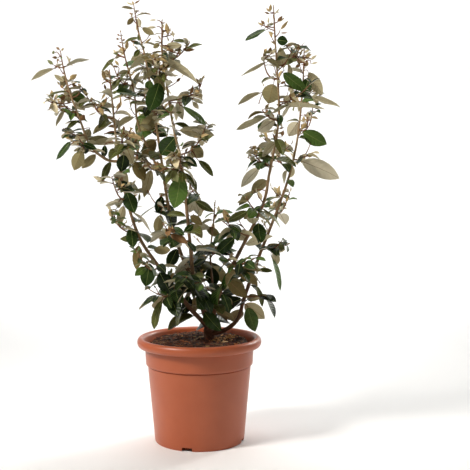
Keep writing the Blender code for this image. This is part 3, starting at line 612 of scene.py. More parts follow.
limbPlan = {
    "left_low": {
        "route": ((20, 0, 218), (-20, -10, 262), (-75, -20, 338), (-113, -30, 400),
                  (-138, -38, 485), (-150, -44, 560), (-160, -50, 672)),
        "radii": (4.4, 1.6),
        "shoots": (
            (292, 210, 60, 12, ((0.5, 215, -68, 62, 20),)),
            (340, 225, 65, 35, ((0.12, 300, -52, 64, 15), (0.45, 245, -62, 58, 0))),
            (410, 200, 60, 40, ((0.1, 200, -72, 56, -60), (0.3, 262, -60, 48, 10))),
            (470, 240, 60, 45, ((0.08, 285, -58, 54, 5), (0.3, 205, -58, 46, -60))),
            (555, 290, 60, 40, ((0.1, 268, -50, 54, 0),)),
            (620, 190, 60, 45, ((0.5, 180, -12, 42, -50),)),
        ),
        "tipShoot": (36, ((0.3, 150, 10, 36, -40),)),
    },
    "far_left": {
        "from": ("left_low", 541),
        "route": ((-173, -45, 545), (-201, -42, 569), (-220, -38, 617), (-240, -33, 670),
                  (-249, -29, 703)),
        "radii": (2.8, 1.4),
        "shoots": (
            (558, 250, 50, 20, ((0.12, 190, -46, 50, -60), (0.5, 250, -50, 42, 10))),
            (590, 205, 50, 20, ((0.15, 215, -52, 55, -70), (0.6, 200, -48, 50, 35))),
            (632, 185, 52, 28, ((0.1, 215, -35, 38, 50), (0.45, 200, -60, 46, -60))),
            (658, 20, 40, 55, ((0.12, 330, -12, 44, 55),)),
        ),
        "tipShoot": (42, ((0.14, 0, 14, 58, -50), (0.2, 180, -26, 58, -50))),
    },
    "left_tall": {
        "route": ((20, 0, 218), (-13, 25, 303), (-40, 45, 366), (-62, 65, 444),
                  (-76, 80, 530), (-108, 108, 730), (-125, 116, 800)),
        "radii": (4.4, 1.5),
        "shoots": (
            (330, 60, 75, 25, ((0.3, 90, -40, 60, 0),)),
            (452, 170, 60, 45, ((0.1, 200, -60, 42, 20), (0.3, 215, -75, 44, -60))),
            (522, 190, 60, 40, ((0.12, 190, -70, 66, -20),)),
            (600, 110, 75, 40, ((0.2, 100, -30, 62, 0), (0.7, 85, -8, 61, 0))),
            (640, 250, 60, 40, ((0.1, 215, -62, 58, 20), (0.35, 235, -48, 66, -60))),
            (712, 90, 62, 45, ((0.15, 60, -25, 58, 0), (0.6, 88, -4, 58, 0))),
        ),
        "tipShoot": (56, ((0.05, 0, -22, 32, -50), (0.3, 185, -30, 26, 10),
                          (0.55, 170, 5, 24, 0), (0.6, 10, 12, 32, 0))),
    },
    "left_middle": {
        "from": ("left_tall", 530),
        "route": ((-101, 78, 560), (-124, 75, 615), (-130, 68, 677), (-142, 62, 725)),
        "radii": (2.4, 1.4),
        "shoots": (
            (690, 190, 50, 45, ((0.1, 200, -45, 44, 30),)),
        ),
        "tipShoot": (62, ((0.06, 190, -42, 44, -10), (0.4, 20, 10, 30, -40))),
    },
    "left_inner": {
        "route": ((20, 0, 218), (-8, -26, 310), (-16, -45, 393), (-28, -75, 528),
                  (-44, -90, 609), (-60, -107, 725), (-61, -111, 746)),
        "radii": (4.2, 1.5),
        "shoots": (
            (310, 250, 60, 20, ((0.25, 250, -65, 48, 10), (0.6, 235, -58, 44, -50))),
            (392, 205, 62, 35, ((0.1, 262, -50, 44, 0), (0.45, 210, -58, 54, 15))),
            (470, 10, 62, 38, ((0.1, 340, -30, 38, -50), (0.4, 350, -28, 50, 20))),
            (522, 265, 50, 35, ((0.12, 262, -68, 70, 0),)),
            (552, 350, 70, 48, ((0.08, 330, -28, 40, 50), (0.45, 0, -44, 50, -50),
                                (0.75, 355, -8, 80, -50))),
            (648, 0, 68, 20, ((0.12, 340, -36, 66, 30),)),
            (690, 230, 48, 45, ((0.12, 245, -64, 64, 0),)),
            (716, 5, 58, 38, ((0.1, 357, -30, 84, -60),)),
        ),
        "tipShoot": (42, ((0.1, 170, 10, 34, -30), (0.3, 10, 20, 36, 0))),
    },
    "centre": {
        "route": ((20, 0, 218), (25, 24, 288), (20, 55, 355), (26, 76, 420)),
        "radii": (3.0, 1.3),
        "shoots": (
            (350, 285, 50, 30, ((0.15, 275, -60, 50, 0), (0.5, 300, -20, 46, 20))),
        ),
        "tipShoot": (40, ((0.1, 200, -20, 34, -30), (0.35, 10, 10, 40, 20))),
    },
    "right_inner": {
        "route": ((20, 0, 218), (38, -14, 285), (61, -22, 336), (119, -45, 455),
                  (133, -55, 520), (146, -65, 590), (149, -72, 645), (141, -86, 762)),
        "radii": (4.2, 1.5),
        "shoots": (
            (338, 300, 62, 25, ((0.1, 330, -42, 58, -20), (0.45, 275, -55, 42, 10))),
            (400, 205, 60, 30, ((0.15, 200, -42, 56, 30), (0.5, 220, -20, 46, -50))),
            (447, 240, 60, 30, ((0.1, 275, -55, 54, 0), (0.4, 200, -30, 58, 30))),
            (532, 190, 55, 45, ((0.1, 190, -45, 64, -20),)),
            (615, 180, 45, 40, ((0.08, 182, -24, 72, 5), (0.3, 170, -36, 56, -70))),
            (648, 350, 65, 30, ((0.1, 355, -8, 84, -45),)),
            (690, 190, 50, 60, ((0.08, 185, -28, 60, -10), (0.75, 183, -28, 74, 0))),
            (712, 15, 68, 50, ((0.12, 325, -40, 66, 45),)),
        ),
        "tipShoot": (56, ((0.06, 300, -20, 36, 45), (0.14, 182, -30, 56, 10))),
    },
    "right_outer": {
        "route": ((19, 0, 207), (48, 2, 214), (75, 13, 235), (86, 26, 270), (112, 45, 342),
                  (168, 75, 484), (192, 88, 575), (204, 97, 680), (206, 98, 722)),
        "radii": (4.2, 1.5),
        "shoots": (
            (278, 330, 55, 12, ((0.2, 285, -62, 60, 5), (0.7, 340, -60, 50, 0))),
            (372, 350, 58, 12, ((0.1, 320, -20, 38, 30), (0.45, 345, -70, 74, 0))),
            (440, 60, 68, 35, ((0.2, 60, -30, 60, 0),)),
            (522, 215, 78, 62, ((0.1, 250, -45, 42, -50),)),
            (545, 5, 45, 45, ((0.12, 0, -20, 86, -60),)),
            (602, 355, 52, 60, ((0.1, 355, -32, 62, 50),)),
            (655, 60, 60, 40, ((0.08, 0, -14, 74, -30),)),
        ),
        "tipShoot": (48, ((0.05, 345, -58, 56, -65), (0.08, 285, -55, 50, 10))),
    },
}

woodPlan = {
    "limbStep": 5.0, "limbSides": 16, "thinning": 0.8, "boughStraight": 6.0,
    "armHeel": 1.25, "armLength": 26.0,
    "trunkPlace": (18, 0), "trunkSink": 6.0,
    "trunk": ((12.5, 188.3), (10.2, 194), (9.0, 204), (8.6, 216), (7.4, 227), (4.5, 232)),
    "trunkSides": 28, "trunkStep": 1.6, "trunkRelief": {"ridgeDepth": 0.09, "knobs": 0.16},
    "trunkSway": ((0.5, 9), (0.4, 7)),  # across and in depth: how far and how often
    "nodeEvery": 26.0, "nodeSwell": 0.22, "nodeSpread": 3.2,  # the swelling where a leaf grew
    "nodeShift": 0.25, "nodeTurn": 2.4,
    "ridges": 5, "ridgeDepth": 0.05, "ridgeSway": (1.6, 31),
    "knobs": 0.09, "knobScale": (2.2, 0.11),  # round the limb and along it
    "shootSteps": 6, "shootHeel": 2.0, "shootBend": 0.45, "tipLift": 0.35,
    "shootRadius": (1.7, 0.95), "twigRadius": (1.2, 0.8), "twigletRadius": (1.0, 0.65),
}


def smoothRoute(points, step):
    # points a step apart on a smooth curve through the given points, which stay on it
    known = [Vector(point) * mm for point in points]
    padded = [2 * known[0] - known[1]] + known + [2 * known[-1] - known[-2]]
    made = [known[0]]
    for before, start, end, after in zip(padded, padded[1:], padded[2:], padded[3:]):
        pieces = max(1, round((end - start).length / (step * mm)))
        for i in range(1, pieces + 1):
            u = i / pieces
            made.append(0.5 * (2 * start + (end - before) * u
                               + (2 * before - 5 * start + 4 * end - after) * u ** 2
                               + (3 * start - before - 3 * end + after) * u ** 3))
    return made


def atHeight(limb, height):
    line = limb["line"]
    for i in range(len(line) - 1):
        if line[i].z <= height * mm <= line[i + 1].z:
            u = (height * mm - line[i].z) / (line[i + 1].z - line[i].z)
            radius = limb["sizes"][i] * (1 - u) + limb["sizes"][i + 1] * u
            return line[i].lerp(line[i + 1], u), (line[i + 1] - line[i]).normalized(), radius * mm
    raise ValueError(f"no point of the limb is {height} mm high")


def footOn(limb, height, bearing):
    # where a shoot leaves a limb's surface, and its first direction
    place, along, radius = atHeight(limb, height)
    out = heading(bearing)
    out = (out - along * out.dot(along)).normalized()
    return place, place + out * radius, out


def layOutLimbs(plan):
    limbs = {}
    for name, form in limbPlan.items():
        thick, thin = form["radii"]
        points, arm = form["route"], plan["armLength"] * mm
        if "from" in form:
            parent, height = form["from"]
            toward = Vector(points[0]) * mm - atHeight(limbs[parent], height)[0]
            place, foot, out = footOn(limbs[parent], height, math.degrees(math.atan2(toward.y, toward.x)))
            points = [place / mm, (foot + out * plan["boughStraight"] * mm) / mm, *points]
            arm = 0.0
        line = smoothRoute(points, plan["limbStep"])
        run = sharesAlong(line) * lengthOf(line)
        sizes = []
        for gone in run:
            share = max(0.0, gone - arm) / (run[-1] - arm)
            heel = plan["armHeel"] + (1 - plan["armHeel"]) * min(1.0, gone / arm) if arm else 1.0
            sizes.append((thick + (thin - thick) * share ** plan["thinning"]) * heel)
        limbs[name] = {"line": line, "sizes": sizes}
    return limbs


def silverberryBark():
    # young shrub bark: thin and smooth, red-brown low down and tan-grey higher up, with fine
    # lengthwise cracks and small pale lenticels
    made = newMaterial("silverberryBark", "#6B4A38", 0.78)
    lay = addNode(made, "UVMap", {"uv_map": "SurfaceMap"})[0]
    where = addNode(made, "TexCoord")["Object"]
    height = addNode(made, "SeparateXYZ", {0: where})[2]
    age = addNode(made, "MapRange", {"From Min": 0.20, "From Max": 0.56, "Value": height})[0]
    old = addNode(made, "Mix", {"data_type": "RGBA", 0: age, 6: linear("#623C26"), 7: linear("#AE9069")})[2]
    stretch = addNode(made, "Mapping", {"Scale": (1, 0.16, 1), "Vector": lay})[0]
    streaks = addNode(made, "TexNoise", {"Scale": 1 / 1.1, "Detail": 6.0, "Roughness": 0.65,
                                         "Vector": stretch})[0]
    dark = addNode(made, "MapRange", {"From Min": 0.38, "From Max": 0.62, "To Min": 0.55, "To Max": 1.15,
                                      "Value": streaks})[0]
    streaked = addNode(made, "Mix", {"data_type": "RGBA", "blend_type": "MULTIPLY", 0: 1.0, 6: old,
                                     7: dark})[2]
    spots = addNode(made, "TexVoronoi", {"Scale": 1 / 3.4, "Vector": stretch})["Distance"]
    pores = addNode(made, "MapRange", {"From Min": 0.11, "From Max": 0.06, "To Max": 0.5, "Value": spots})[0]
    spotted = addNode(made, "Mix", {"data_type": "RGBA", 0: pores, 6: streaked, 7: linear("#B79C82")})[2]
    rough = addNode(made, "MapRange", {"To Min": 0.62, "To Max": 0.9, "Value": streaks})[0]
    bump = addNode(made, "Bump", {"Strength": 0.7, "Distance": 0.35 * mm, "Height": streaks})[0]
    feedShader(made, Base_Color=spotted, Roughness=rough, Normal=bump)
    return made


def barkRelief(line, sizes, sides, seed, plan):
    # radii round and along a limb: knobs, lengthwise ridges and a swelling at each old leaf scar
    run = sharesAlong(line) * lengthOf(line)
    radii = np.empty((len(line), sides))
    around, upward = plan["knobScale"]
    sway, swayEvery = plan["ridgeSway"]
    for i, size in enumerate(sizes):
        gone = run[i] / mm
        step = math.floor(gone / plan["nodeEvery"])
        swell = 0.0
        for k in (step, step + 1):
            scar = (k + plan["nodeShift"] * math.sin(seed + 5 * k)) * plan["nodeEvery"]
            swell += math.exp(-((gone - scar) / plan["nodeSpread"]) ** 2)
        for j in range(sides):
            turn = 2 * math.pi * j / sides
            ring = Vector((around * math.cos(turn), around * math.sin(turn), gone * upward + seed))
            ridge = math.sin(plan["ridges"] * turn + sway * math.sin(gone / swayEvery + seed))
            side = 0.5 + 0.5 * math.cos(turn - plan["nodeTurn"] * step)
            radii[i, j] = size * (1 + plan["ridgeDepth"] * ridge + plan["knobs"] * noise.noise(ring)
                                  + plan["nodeSwell"] * swell * side)
    return radii * mm


def addBark(name, line, radii, sides, bark, node):
    heap = Heap()
    heap.addTube(line, radii, sides, 0)
    piece = addObject(name, heap.mesh(name), [bark])
    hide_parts(node)


def makeWood(limbs, plan):
    bark, sides = silverberryBark(), plan["trunkSides"]
    route = [Vector((*plan["trunkPlace"], plan["trunk"][0][1] - plan["trunkSink"]))]
    heights = [z for _, z in plan["trunk"]]
    while route[-1].z < heights[-1]:
        route.append(route[-1] + Vector((0, 0, plan["trunkStep"])))
    sizes = [np.interp(at.z, heights, [r for r, _ in plan["trunk"]]) for at in route]
    (wide, wideEvery), (deep, deepEvery) = plan["trunkSway"]
    line = [(at + Vector((wide * math.sin(at.z / wideEvery), deep * math.cos(at.z / deepEvery), 0))) * mm
            for at in route]
    radii = barkRelief(line, sizes, sides, 3, {**plan, **plan["trunkRelief"]})
    addBark("barkTrunk", line, radii, sides, bark, "trunk")
    for number, (name, limb) in enumerate(limbs.items()):
        radii = barkRelief(limb["line"], limb["sizes"], plan["limbSides"], 11 * number, plan)
        node = ("bough_" if "from" in limbPlan[name] else "stem_") + name
        addBark(f"bark_{name}", limb["line"], radii, plan["limbSides"], bark, node)


limbs = layOutLimbs(woodPlan)
makeWood(limbs, woodPlan)
print("trunk and limbs made")


# Shoots: the same lines as the solids' masses, planned before any leaf so that each keeps its space

def planShoots(limbs, plan):
    shoots = []
    for name, form in limbPlan.items():
        limb = limbs[name]
        for i, (height, bearing, length, rise, leaves) in enumerate(form["shoots"]):
            middle, foot, out = footOn(limb, height, bearing)
            bend = foot + out * length * plan["shootBend"] * mm
            end = foot + heading(bearing, rise) * length * mm
            line = [middle] + arc(foot + out * plan["shootHeel"] * mm, bend, end, plan["shootSteps"])
            shoots.append({"name": f"leaves_{name}_{i + 1}", "limb": name, "line": line, "bearing": bearing,
                           "side": (-1) ** i, "size": 1.0, "leaves": leaves, "atTip": False})
        length, leaves = form["tipShoot"]
        along = (limb["line"][-1] - limb["line"][-2]).normalized()
        foot = limb["line"][-1]
        bend = foot + along * length * plan["shootBend"] * mm
        end = foot + (along + Vector((0, 0, plan["tipLift"]))).normalized() * length * mm
        shoots.append({"name": f"leaves_{name}_tip", "limb": name, "bearing": 90, "size": 0.45,
                       "line": arc(foot, bend, end, plan["shootSteps"]), "side": (-1) ** len(shoots),
                       "leaves": leaves, "atTip": True})
    return shoots


shoots = planShoots(limbs, woodPlan)


# Leaves: the rule of the solids, carried on to finer twigs. A pair of numbers is a range, or what
# holds at the crown's foot and near its top.

leafRule = {
    "seed": 700,
    "crownFoot": 0.25, "crownHeight": 0.5, "silverFrom": 0.46, "silverRise": (0.26, 0.3),  # metres
    "perShoot": (15, 8), "perTwig": (4, 4), "perTip": 3, "youngTwigs": 0.6,
    "fullness": {"left_low": 1.4, "left_tall": 1.45, "left_middle": 1.3, "left_inner": 1.4, "centre": 1.9,
                 "right_inner": 1.0, "right_outer": 0.6, "far_left": 0.85},
    "spiral": 137.5, "firstLeaf": 0.2, "firstTurn": (45, 95),
    "longest": (78, 62), "tipShortening": 0.66, "lengthSpread": (0.86, 1.16),
    "pitchFoot": (-58, -40), "pitchRise": (56, 60), "pitchSpread": (-20, 20), "roll": (62, 40),
    "viewer": -90, "upright": 0.15,
    "swings": (0, 15, -15, 32, -32, 52, -52), "swingLift": 0.3, "swingShrink": 0.05,
    "slack": 14.0, "limbMargin": 0.8, "twigClear": 1.5, "lowestLeaf": 203.5, "reach": 8.0,
    "twigs": 3, "twigFrom": (0.32, 0.24), "twigTurn": (32, 80), "twigShare": (0.5, 0.8),
    "twigRise": (10, 42), "twigShorter": 0.15, "twigLeaf": 0.72,
    "twigletFrom": 0.35, "twigletTurn": (35, 80), "twigletRise": (0, 45), "twigletLength": (12, 26),
    "spurEvery": (25, 17), "spurFrom": 262, "spurEnd": 14, "spurVary": (0.75, 1.25), "spurLean": (25, 65),
    "spurTurn": (-30, 30), "spurLength": (16, 42), "spurLeaf": (0.55, 0.95), "spurPitch": (-45, 15),
    "spurRoll": (-50, 50), "limbTurn": (-20, 20),
    "footFrom": 226, "footTo": 345, "footEnd": 5, "footEvery": 7.0, "footVary": (0.7, 1.3),
    "footLength": (40, 68), "footPitch": (-80, -15), "footRoll": (-60, 60),
}
spirePlan = {  # the small young leaves at a twig's end
    "from": 0.39,  # metres: none stand lower than this
    "step": 13.0, "taper": 0.4, "vary": (0.6, 1.15), "turn": 0.3, "spread": (30, 66), "budSpread": (6, 20),
    "budLength": 5.5, "fewest": 2, "misses": 2,
    "twiglet": (0.35, 20), "twig": (0.5, 25), "shootTip": (0.15, 20), "spur": (0.25, 22),  # start, length
    "shape": {"half": (0.17, 0.23), "arch": (-0.2, 0.9), "sway": (-0.1, 0.1), "fold": (0.1, 0.5)},
    "budShape": {"half": 0.24, "arch": 0.3, "sway": 0.0, "fold": 0.1, "plump": 1.1},
}

# Colours are dealt out by spray, plain for each side of a leaf
leafPaints = {
    "deepGreen": "#1B2B0B", "midGreen": "#2A4011", "lightGreen": "#506A2C", "oliveGreen": "#505324",
    "paleSilver": "#DDD4B8", "khakiSilver": "#C3B892", "oliveSilver": "#9C9166", "bronzeSilver": "#796B40",
    "midribPale": "#7F8C4E", "midribBrown": "#93794F", "petiole": "#6E4C38",
    "youngTan": "#C8AC78", "youngBronze": "#8E6A44", "youngSilver": "#DED0AA", "youngGreen": "#747848",
}
greens, silvers, youngs = (0, 1, 2, 3), (4, 5, 6, 7), (11, 12, 13, 14)  # places among the paints
ribPale, ribBrown, stalk = 8, 9, 10
paintDeals = {  # how often each paint is dealt, for full leaves low down and high up
    "green": ((5, 2), (4, 3), (1, 2.6), (0.8, 3.8)), "silver": ((1, 5), (3, 5), (3, 1), (2, 0.3)),
    "youngUpper": (4, 2, 3, 2), "youngUnder": (4, 1, 6, 0),
}


def leafMaterials():
    made = []
    for number, (name, colour) in enumerate(leafPaints.items()):
        if number in greens:
            # the upper side: a waxy cuticle, glossy over deep green, quilted between its side veins
            material = newMaterial("cuticle_" + name, colour, 0.35, 1.47, Specular_IOR_Level=0.26)
            scale, low, high, depth = 1.1, 0.26, 0.46, 0.45
        elif number in silvers:
            # the underside: silvery scales over felt, which scatter light softly
            material = newMaterial("scales_" + name, colour, 0.55, 1.45, Sheen_Weight=0.08,
                                   Specular_IOR_Level=0.2)
            scale, low, high, depth = 0.6, 0.45, 0.68, 0.35
        else:
            # ribs, stalks and young leaves: rusty scales over thin bark or blade
            material = newMaterial("scurf_" + name, colour, 0.6, 1.45, Specular_IOR_Level=0.3)
            scale, low, high, depth = 0.7, 0.5, 0.75, 0.2
        where = addNode(material, "TexCoord")["Object"]
        grain = addNode(material, "TexNoise", {"Scale": 1 / (scale * mm), "Detail": 3.0, "Vector": where})[0]
        rough = addNode(material, "MapRange", {"From Min": 0.3, "From Max": 0.7, "To Min": low,
                                               "To Max": high, "Value": grain})[0]
        # side veins: eight pairs that sweep forward, drawn as low ridges from the leaf's own map
        lay = addNode(material, "UVMap", {"uv_map": "SurfaceMap"})[0]
        along, across, _ = addNode(material, "SeparateXYZ", {0: lay})
        swept = addNode(material, "Math", {"operation": "ABSOLUTE", 0: across})[0]
        back = addNode(material, "Math", {"operation": "MULTIPLY_ADD", 0: swept, 1: -0.16, 2: along})[0]
        line = addNode(material, "CombineXYZ", {0: back})[0]
        veins = addNode(material, "TexWave", {"Scale": 2.5, "Distortion": 0.4, "Detail": 1.0,
                                              "Vector": line})["Fac"]
        both = addNode(material, "Math", {"operation": "MULTIPLY_ADD", 0: grain, 1: 0.35, 2: veins})[0]
        bump = addNode(material, "Bump", {"Strength": depth, "Distance": 0.9 * mm, "Height": both})[0]
        feedShader(material, Roughness=rough, Normal=bump)
        made.append(material)
    return made


bladePlan = {
    "rows": (0.03, 0.12, 0.28, 0.46, 0.64, 0.80, 0.92),
    "stalk": 0.10, "stalkRadius": (0.75, 0.54), "thickness": 0.32, "rib": 0.5, "ribDepth": 0.85,
    "ribWidest": 0.3, "ribTaper": 0.6, "ribFades": 0.75,  # narrower and shallower towards the tip
    "halfLow": (0.23, 0.29), "halfHigh": (0.16, 0.23), "round": 0.62, "skew": 0.92,
    "tipNarrow": 0.3, "tipFrom": 0.74, "tipRun": 0.22, "tipCurve": 1.3, "middle": 0.52, "bendOver": 0.42,
    "foldLow": (6, 22), "foldHigh": (14, 38), "curl": (0.0, 0.2), "arch": (16, 60), "twist": (-24, 24),
    "sway": (-0.07, 0.07), "wave": (0.006, 0.02), "ripples": ((9.5, 1), (8.3, 2.1)),
    "youngRows": (0.12, 0.36, 0.64, 0.87), "youngWidths": (0.25, 0.95, 0.85, 0.35),
    "youngThickness": 0.4, "youngPlump": 0.2,
}


def bladeFaces(rows):
    # a stalk of four sides, then an upper and an under skin that meet at the rim, and one tip point;
    # parts: 0 upper, 1 its rib, 2 under, 3 its rib, 4 stalk
    faces, parts = [[0, 3, 2, 1]], [4]
    for k in (0, 4):
        for a, b in ((0, 1), (1, 2), (2, 3), (3, 0)):
            faces.append([k + a, k + b, k + b + 4, k + a + 4])
            parts.append(4)
    a, b, c, d = 8, 9, 10, 11
    upper, under = [0, 1, 2, 3, 4, 5], [0, 6, 7, 8, 9, 5]
    first = 12
    r = [first + i for i in range(10)]
    faces += [[a, b, r[3], r[2]], [a, r[2], r[1]], [a, r[1], r[0]], [b, r[4], r[3]], [b, r[5], r[4]],
              [c, d, r[7], r[8]], [d, r[6], r[7]], [d, r[0], r[6]], [c, r[8], r[9]], [c, r[9], r[5]],
              [d, a, r[0]], [b, c, r[5]]]
    parts += [1, 0, 0, 0, 0, 3, 2, 2, 2, 2, 4, 4]
    for i in range(rows - 1):
        at, on = first + 10 * i, first + 10 * (i + 1)
        for k in range(5):
            # both skins are cut along the same diagonal, so that they never cross near the rim
            p, q = upper[k], upper[k + 1]
            faces += [[at + p, at + q, on + q], [at + p, on + q, on + p]]
            parts += [1 if k == 2 else 0] * 2
            p, q = under[k], under[k + 1]
            faces += [[at + q, at + p, on + q], [on + q, at + p, on + p]]
            parts += [3 if k == 2 else 2] * 2
    at, tip = first + 10 * (rows - 1), first + 10 * rows
    for k in range(5):
        faces += [[at + upper[k], at + upper[k + 1], tip], [at + under[k + 1], at + under[k], tip]]
        parts += [1 if k == 2 else 0, 3 if k == 2 else 2]
    rims = np.zeros(tip + 1, bool)
    rims[[a, b, c, d, tip]] = True
    for i in range(rows):
        rims[[first + 10 * i, first + 10 * i + 5]] = True
    return faces, parts, rims


def youngFaces(rows):
    faces, parts = [[0, 2, 1], [0, 3, 2], [0, 1, 4], [0, 4, 3]], [0, 0, 2, 2]
    for i in range(rows - 1):
        at, on = 1 + 4 * i, 5 + 4 * i
        faces += [[at, at + 1, on + 1, on], [at + 1, at + 2, on + 2, on + 1],
                  [at + 3, at, on, on + 3], [at + 2, at + 3, on + 3, on + 2]]
    at, tip = 1 + 4 * (rows - 1), 1 + 4 * rows
    faces += [[at, at + 1, tip], [at + 1, at + 2, tip], [at + 3, at, tip], [at + 2, at + 3, tip]]
    rims = np.zeros(tip + 1, bool)
    rims[tip] = True
    for i in range(rows):
        rims[[1 + 4 * i, 3 + 4 * i]] = True
    return faces, parts * (rows + 1), rims


bladeForm = bladeFaces(len(bladePlan["rows"]))
youngForm = youngFaces(len(bladePlan["youngRows"]))


def midrib(stations, arch, sway):
    # the leaf's middle line, one unit long, which rises from its foot and then bends over
    steps = np.diff(stations, prepend=0.0)
    slopes = arch * (bladePlan["bendOver"] - (stations - steps / 2))
    x, z = np.cumsum(steps * np.cos(slopes)), np.cumsum(steps * np.sin(slopes))
    angles = arch * (bladePlan["bendOver"] - stations)
    middles = np.stack([x, sway * stations ** 3, z], 1)
    normals = np.stack([-np.sin(angles), np.zeros_like(angles), np.cos(angles)], 1)
    return middles, normals


def bladePoints(length, shape, plan):
    # points of one full leaf in its own frame: X along it, Y to its left, Z its upper side
    stalkEnd, mid = plan["stalk"], plan["middle"]
    rows = np.array(plan["rows"])
    stations = np.concatenate([[0.0, stalkEnd / 2, stalkEnd], stalkEnd + (1 - stalkEnd) * rows, [1.0]])
    middles, normals = midrib(stations, shape["arch"], shape["sway"])
    twist = shape["twist"] * np.clip((stations - stalkEnd) / (1 - stalkEnd), 0, 1) ** 2
    left = np.array([0.0, 1.0, 0.0])
    across = left * np.cos(twist)[:, None] + normals * np.sin(twist)[:, None]
    up = normals * np.cos(twist)[:, None] - left * np.sin(twist)[:, None]
    unit = mm / length
    points, places = [], [(0, 0)] * 12
    for k, size in enumerate((*plan["stalkRadius"], plan["rib"])):
        drop = plan["ribDepth"] if k == 2 else size * 2
        lift = size if k < 2 else 0
        for side, level in ((1, 0), (-1, 0), (-1, -drop), (1, -drop)):
            points.append(middles[k] + across[k] * side * size * unit + up[k] * (level + lift) * unit)
    fold, wave, phase = shape["fold"], shape["wave"], shape["phase"]
    for k, share in enumerate(rows):
        m, side, top = middles[k + 3], across[k + 3], up[k + 3]
        width = math.sin(math.pi * share ** plan["skew"]) ** plan["round"]
        narrowed = min(1.0, max(0.0, (share - plan["tipFrom"]) / plan["tipRun"])) ** plan["tipCurve"]
        width *= 1 - plan["tipNarrow"] * narrowed
        half = shape["half"] * width
        rib = min(plan["rib"] * unit * (1 - plan["ribTaper"] * share), plan["ribWidest"] * half)
        deep = plan["ribDepth"] * unit * (1 - plan["ribFades"] * share)
        rise = half * (math.sin(fold) - shape["curl"])
        edges = [rise + wave * math.sin(fast * share + slow * phase) * width
                 for fast, slow in plan["ripples"]]
        middle, flat = mid * half * math.sin(fold), math.cos(fold)
        under = middle - plan["thickness"] * unit
        points += [m + side * half * flat + top * edges[0], m + side * mid * half * flat + top * middle,
                   m + side * rib, m - side * rib, m - side * mid * half * flat + top * middle,
                   m - side * half * flat + top * edges[1],
                   m + side * mid * half * flat + top * under, m + side * rib - top * deep,
                   m - side * rib - top * deep, m - side * mid * half * flat + top * under]
        places += [(share, v) for v in (1, mid, 0.05, -0.05, -mid, -1, mid, 0.05, -0.05, -mid)]
    points.append(middles[-1])
    places.append((1, 0))
    return np.array(points) * length, np.array(places)


def youngPoints(length, shape, plan):
    # points of a small young leaf or a bud, whose narrow foot is its stalk
    rows = np.array(plan["youngRows"])
    middles, normals = midrib(np.concatenate([rows, [1.0]]), shape["arch"], shape["sway"])
    unit = mm / length
    left = np.array([0.0, 1.0, 0.0])
    points, places = [np.zeros(3)], [(0, 0)]
    for k, (share, width) in enumerate(zip(rows, plan["youngWidths"])):
        half = shape["half"] * width
        m, top = middles[k], normals[k]
        lift = half * math.sin(shape["fold"])
        thick = max(plan["youngThickness"] * unit, half * shape["plump"])
        points += [m + left * half + top * lift, m + top * thick * 0.4, m - left * half + top * lift,
                   m - top * thick * 0.6]
        places += [(share, 1), (share, 0), (share, -1), (share, 0)]
    points.append(middles[-1])
    places.append((1, 0))
    return np.array(points) * length, np.array(places)


def crownShare(z):
    # 0 at the crown's foot and 1 near its top
    return min(1.0, max(0.0, (z - leafRule["crownFoot"]) / leafRule["crownHeight"]))


def throwYoung(dice, spans):
    shape = {name: dice.uniform(*span) for name, span in spans.items()}
    return {**shape, "plump": bladePlan["youngPlump"]}


def throwShape(dice, z):
    plan, high = bladePlan, crownShare(z)
    shape = {"half": between(dice.uniform(*plan["halfLow"]), dice.uniform(*plan["halfHigh"]), high),
             "fold": between(dice.uniform(*plan["foldLow"]), dice.uniform(*plan["foldHigh"]), high)}
    for name in ("curl", "arch", "twist", "sway", "wave"):
        shape[name] = dice.uniform(*plan[name])
    for name in ("fold", "arch", "twist"):
        shape[name] = math.radians(shape[name])
    return {**shape, "phase": dice.uniform(0, 6.28)}


# Room: where leaves and limbs already are, and which shoot's space a place belongs to

mostLeaves = 9000
room = {"centres": np.empty((mostLeaves, 3)), "radii": np.empty(mostLeaves), "forms": [],
        "leaves": [], "twigs": []}
segments = [(np.array(a), np.array(b), owner) for owner, shoot in enumerate(shoots)
            for a, b in zip(shoot["line"], shoot["line"][1:])]
segmentStarts = np.array([a for a, _, _ in segments])
segmentRuns = np.array([b - a for a, b, _ in segments])
segmentOwners = np.array([owner for _, _, owner in segments])
sights = {"points": np.empty((0, 3)), "pixels": np.empty((0, 2))}  # shown leaves, to be kept in sight
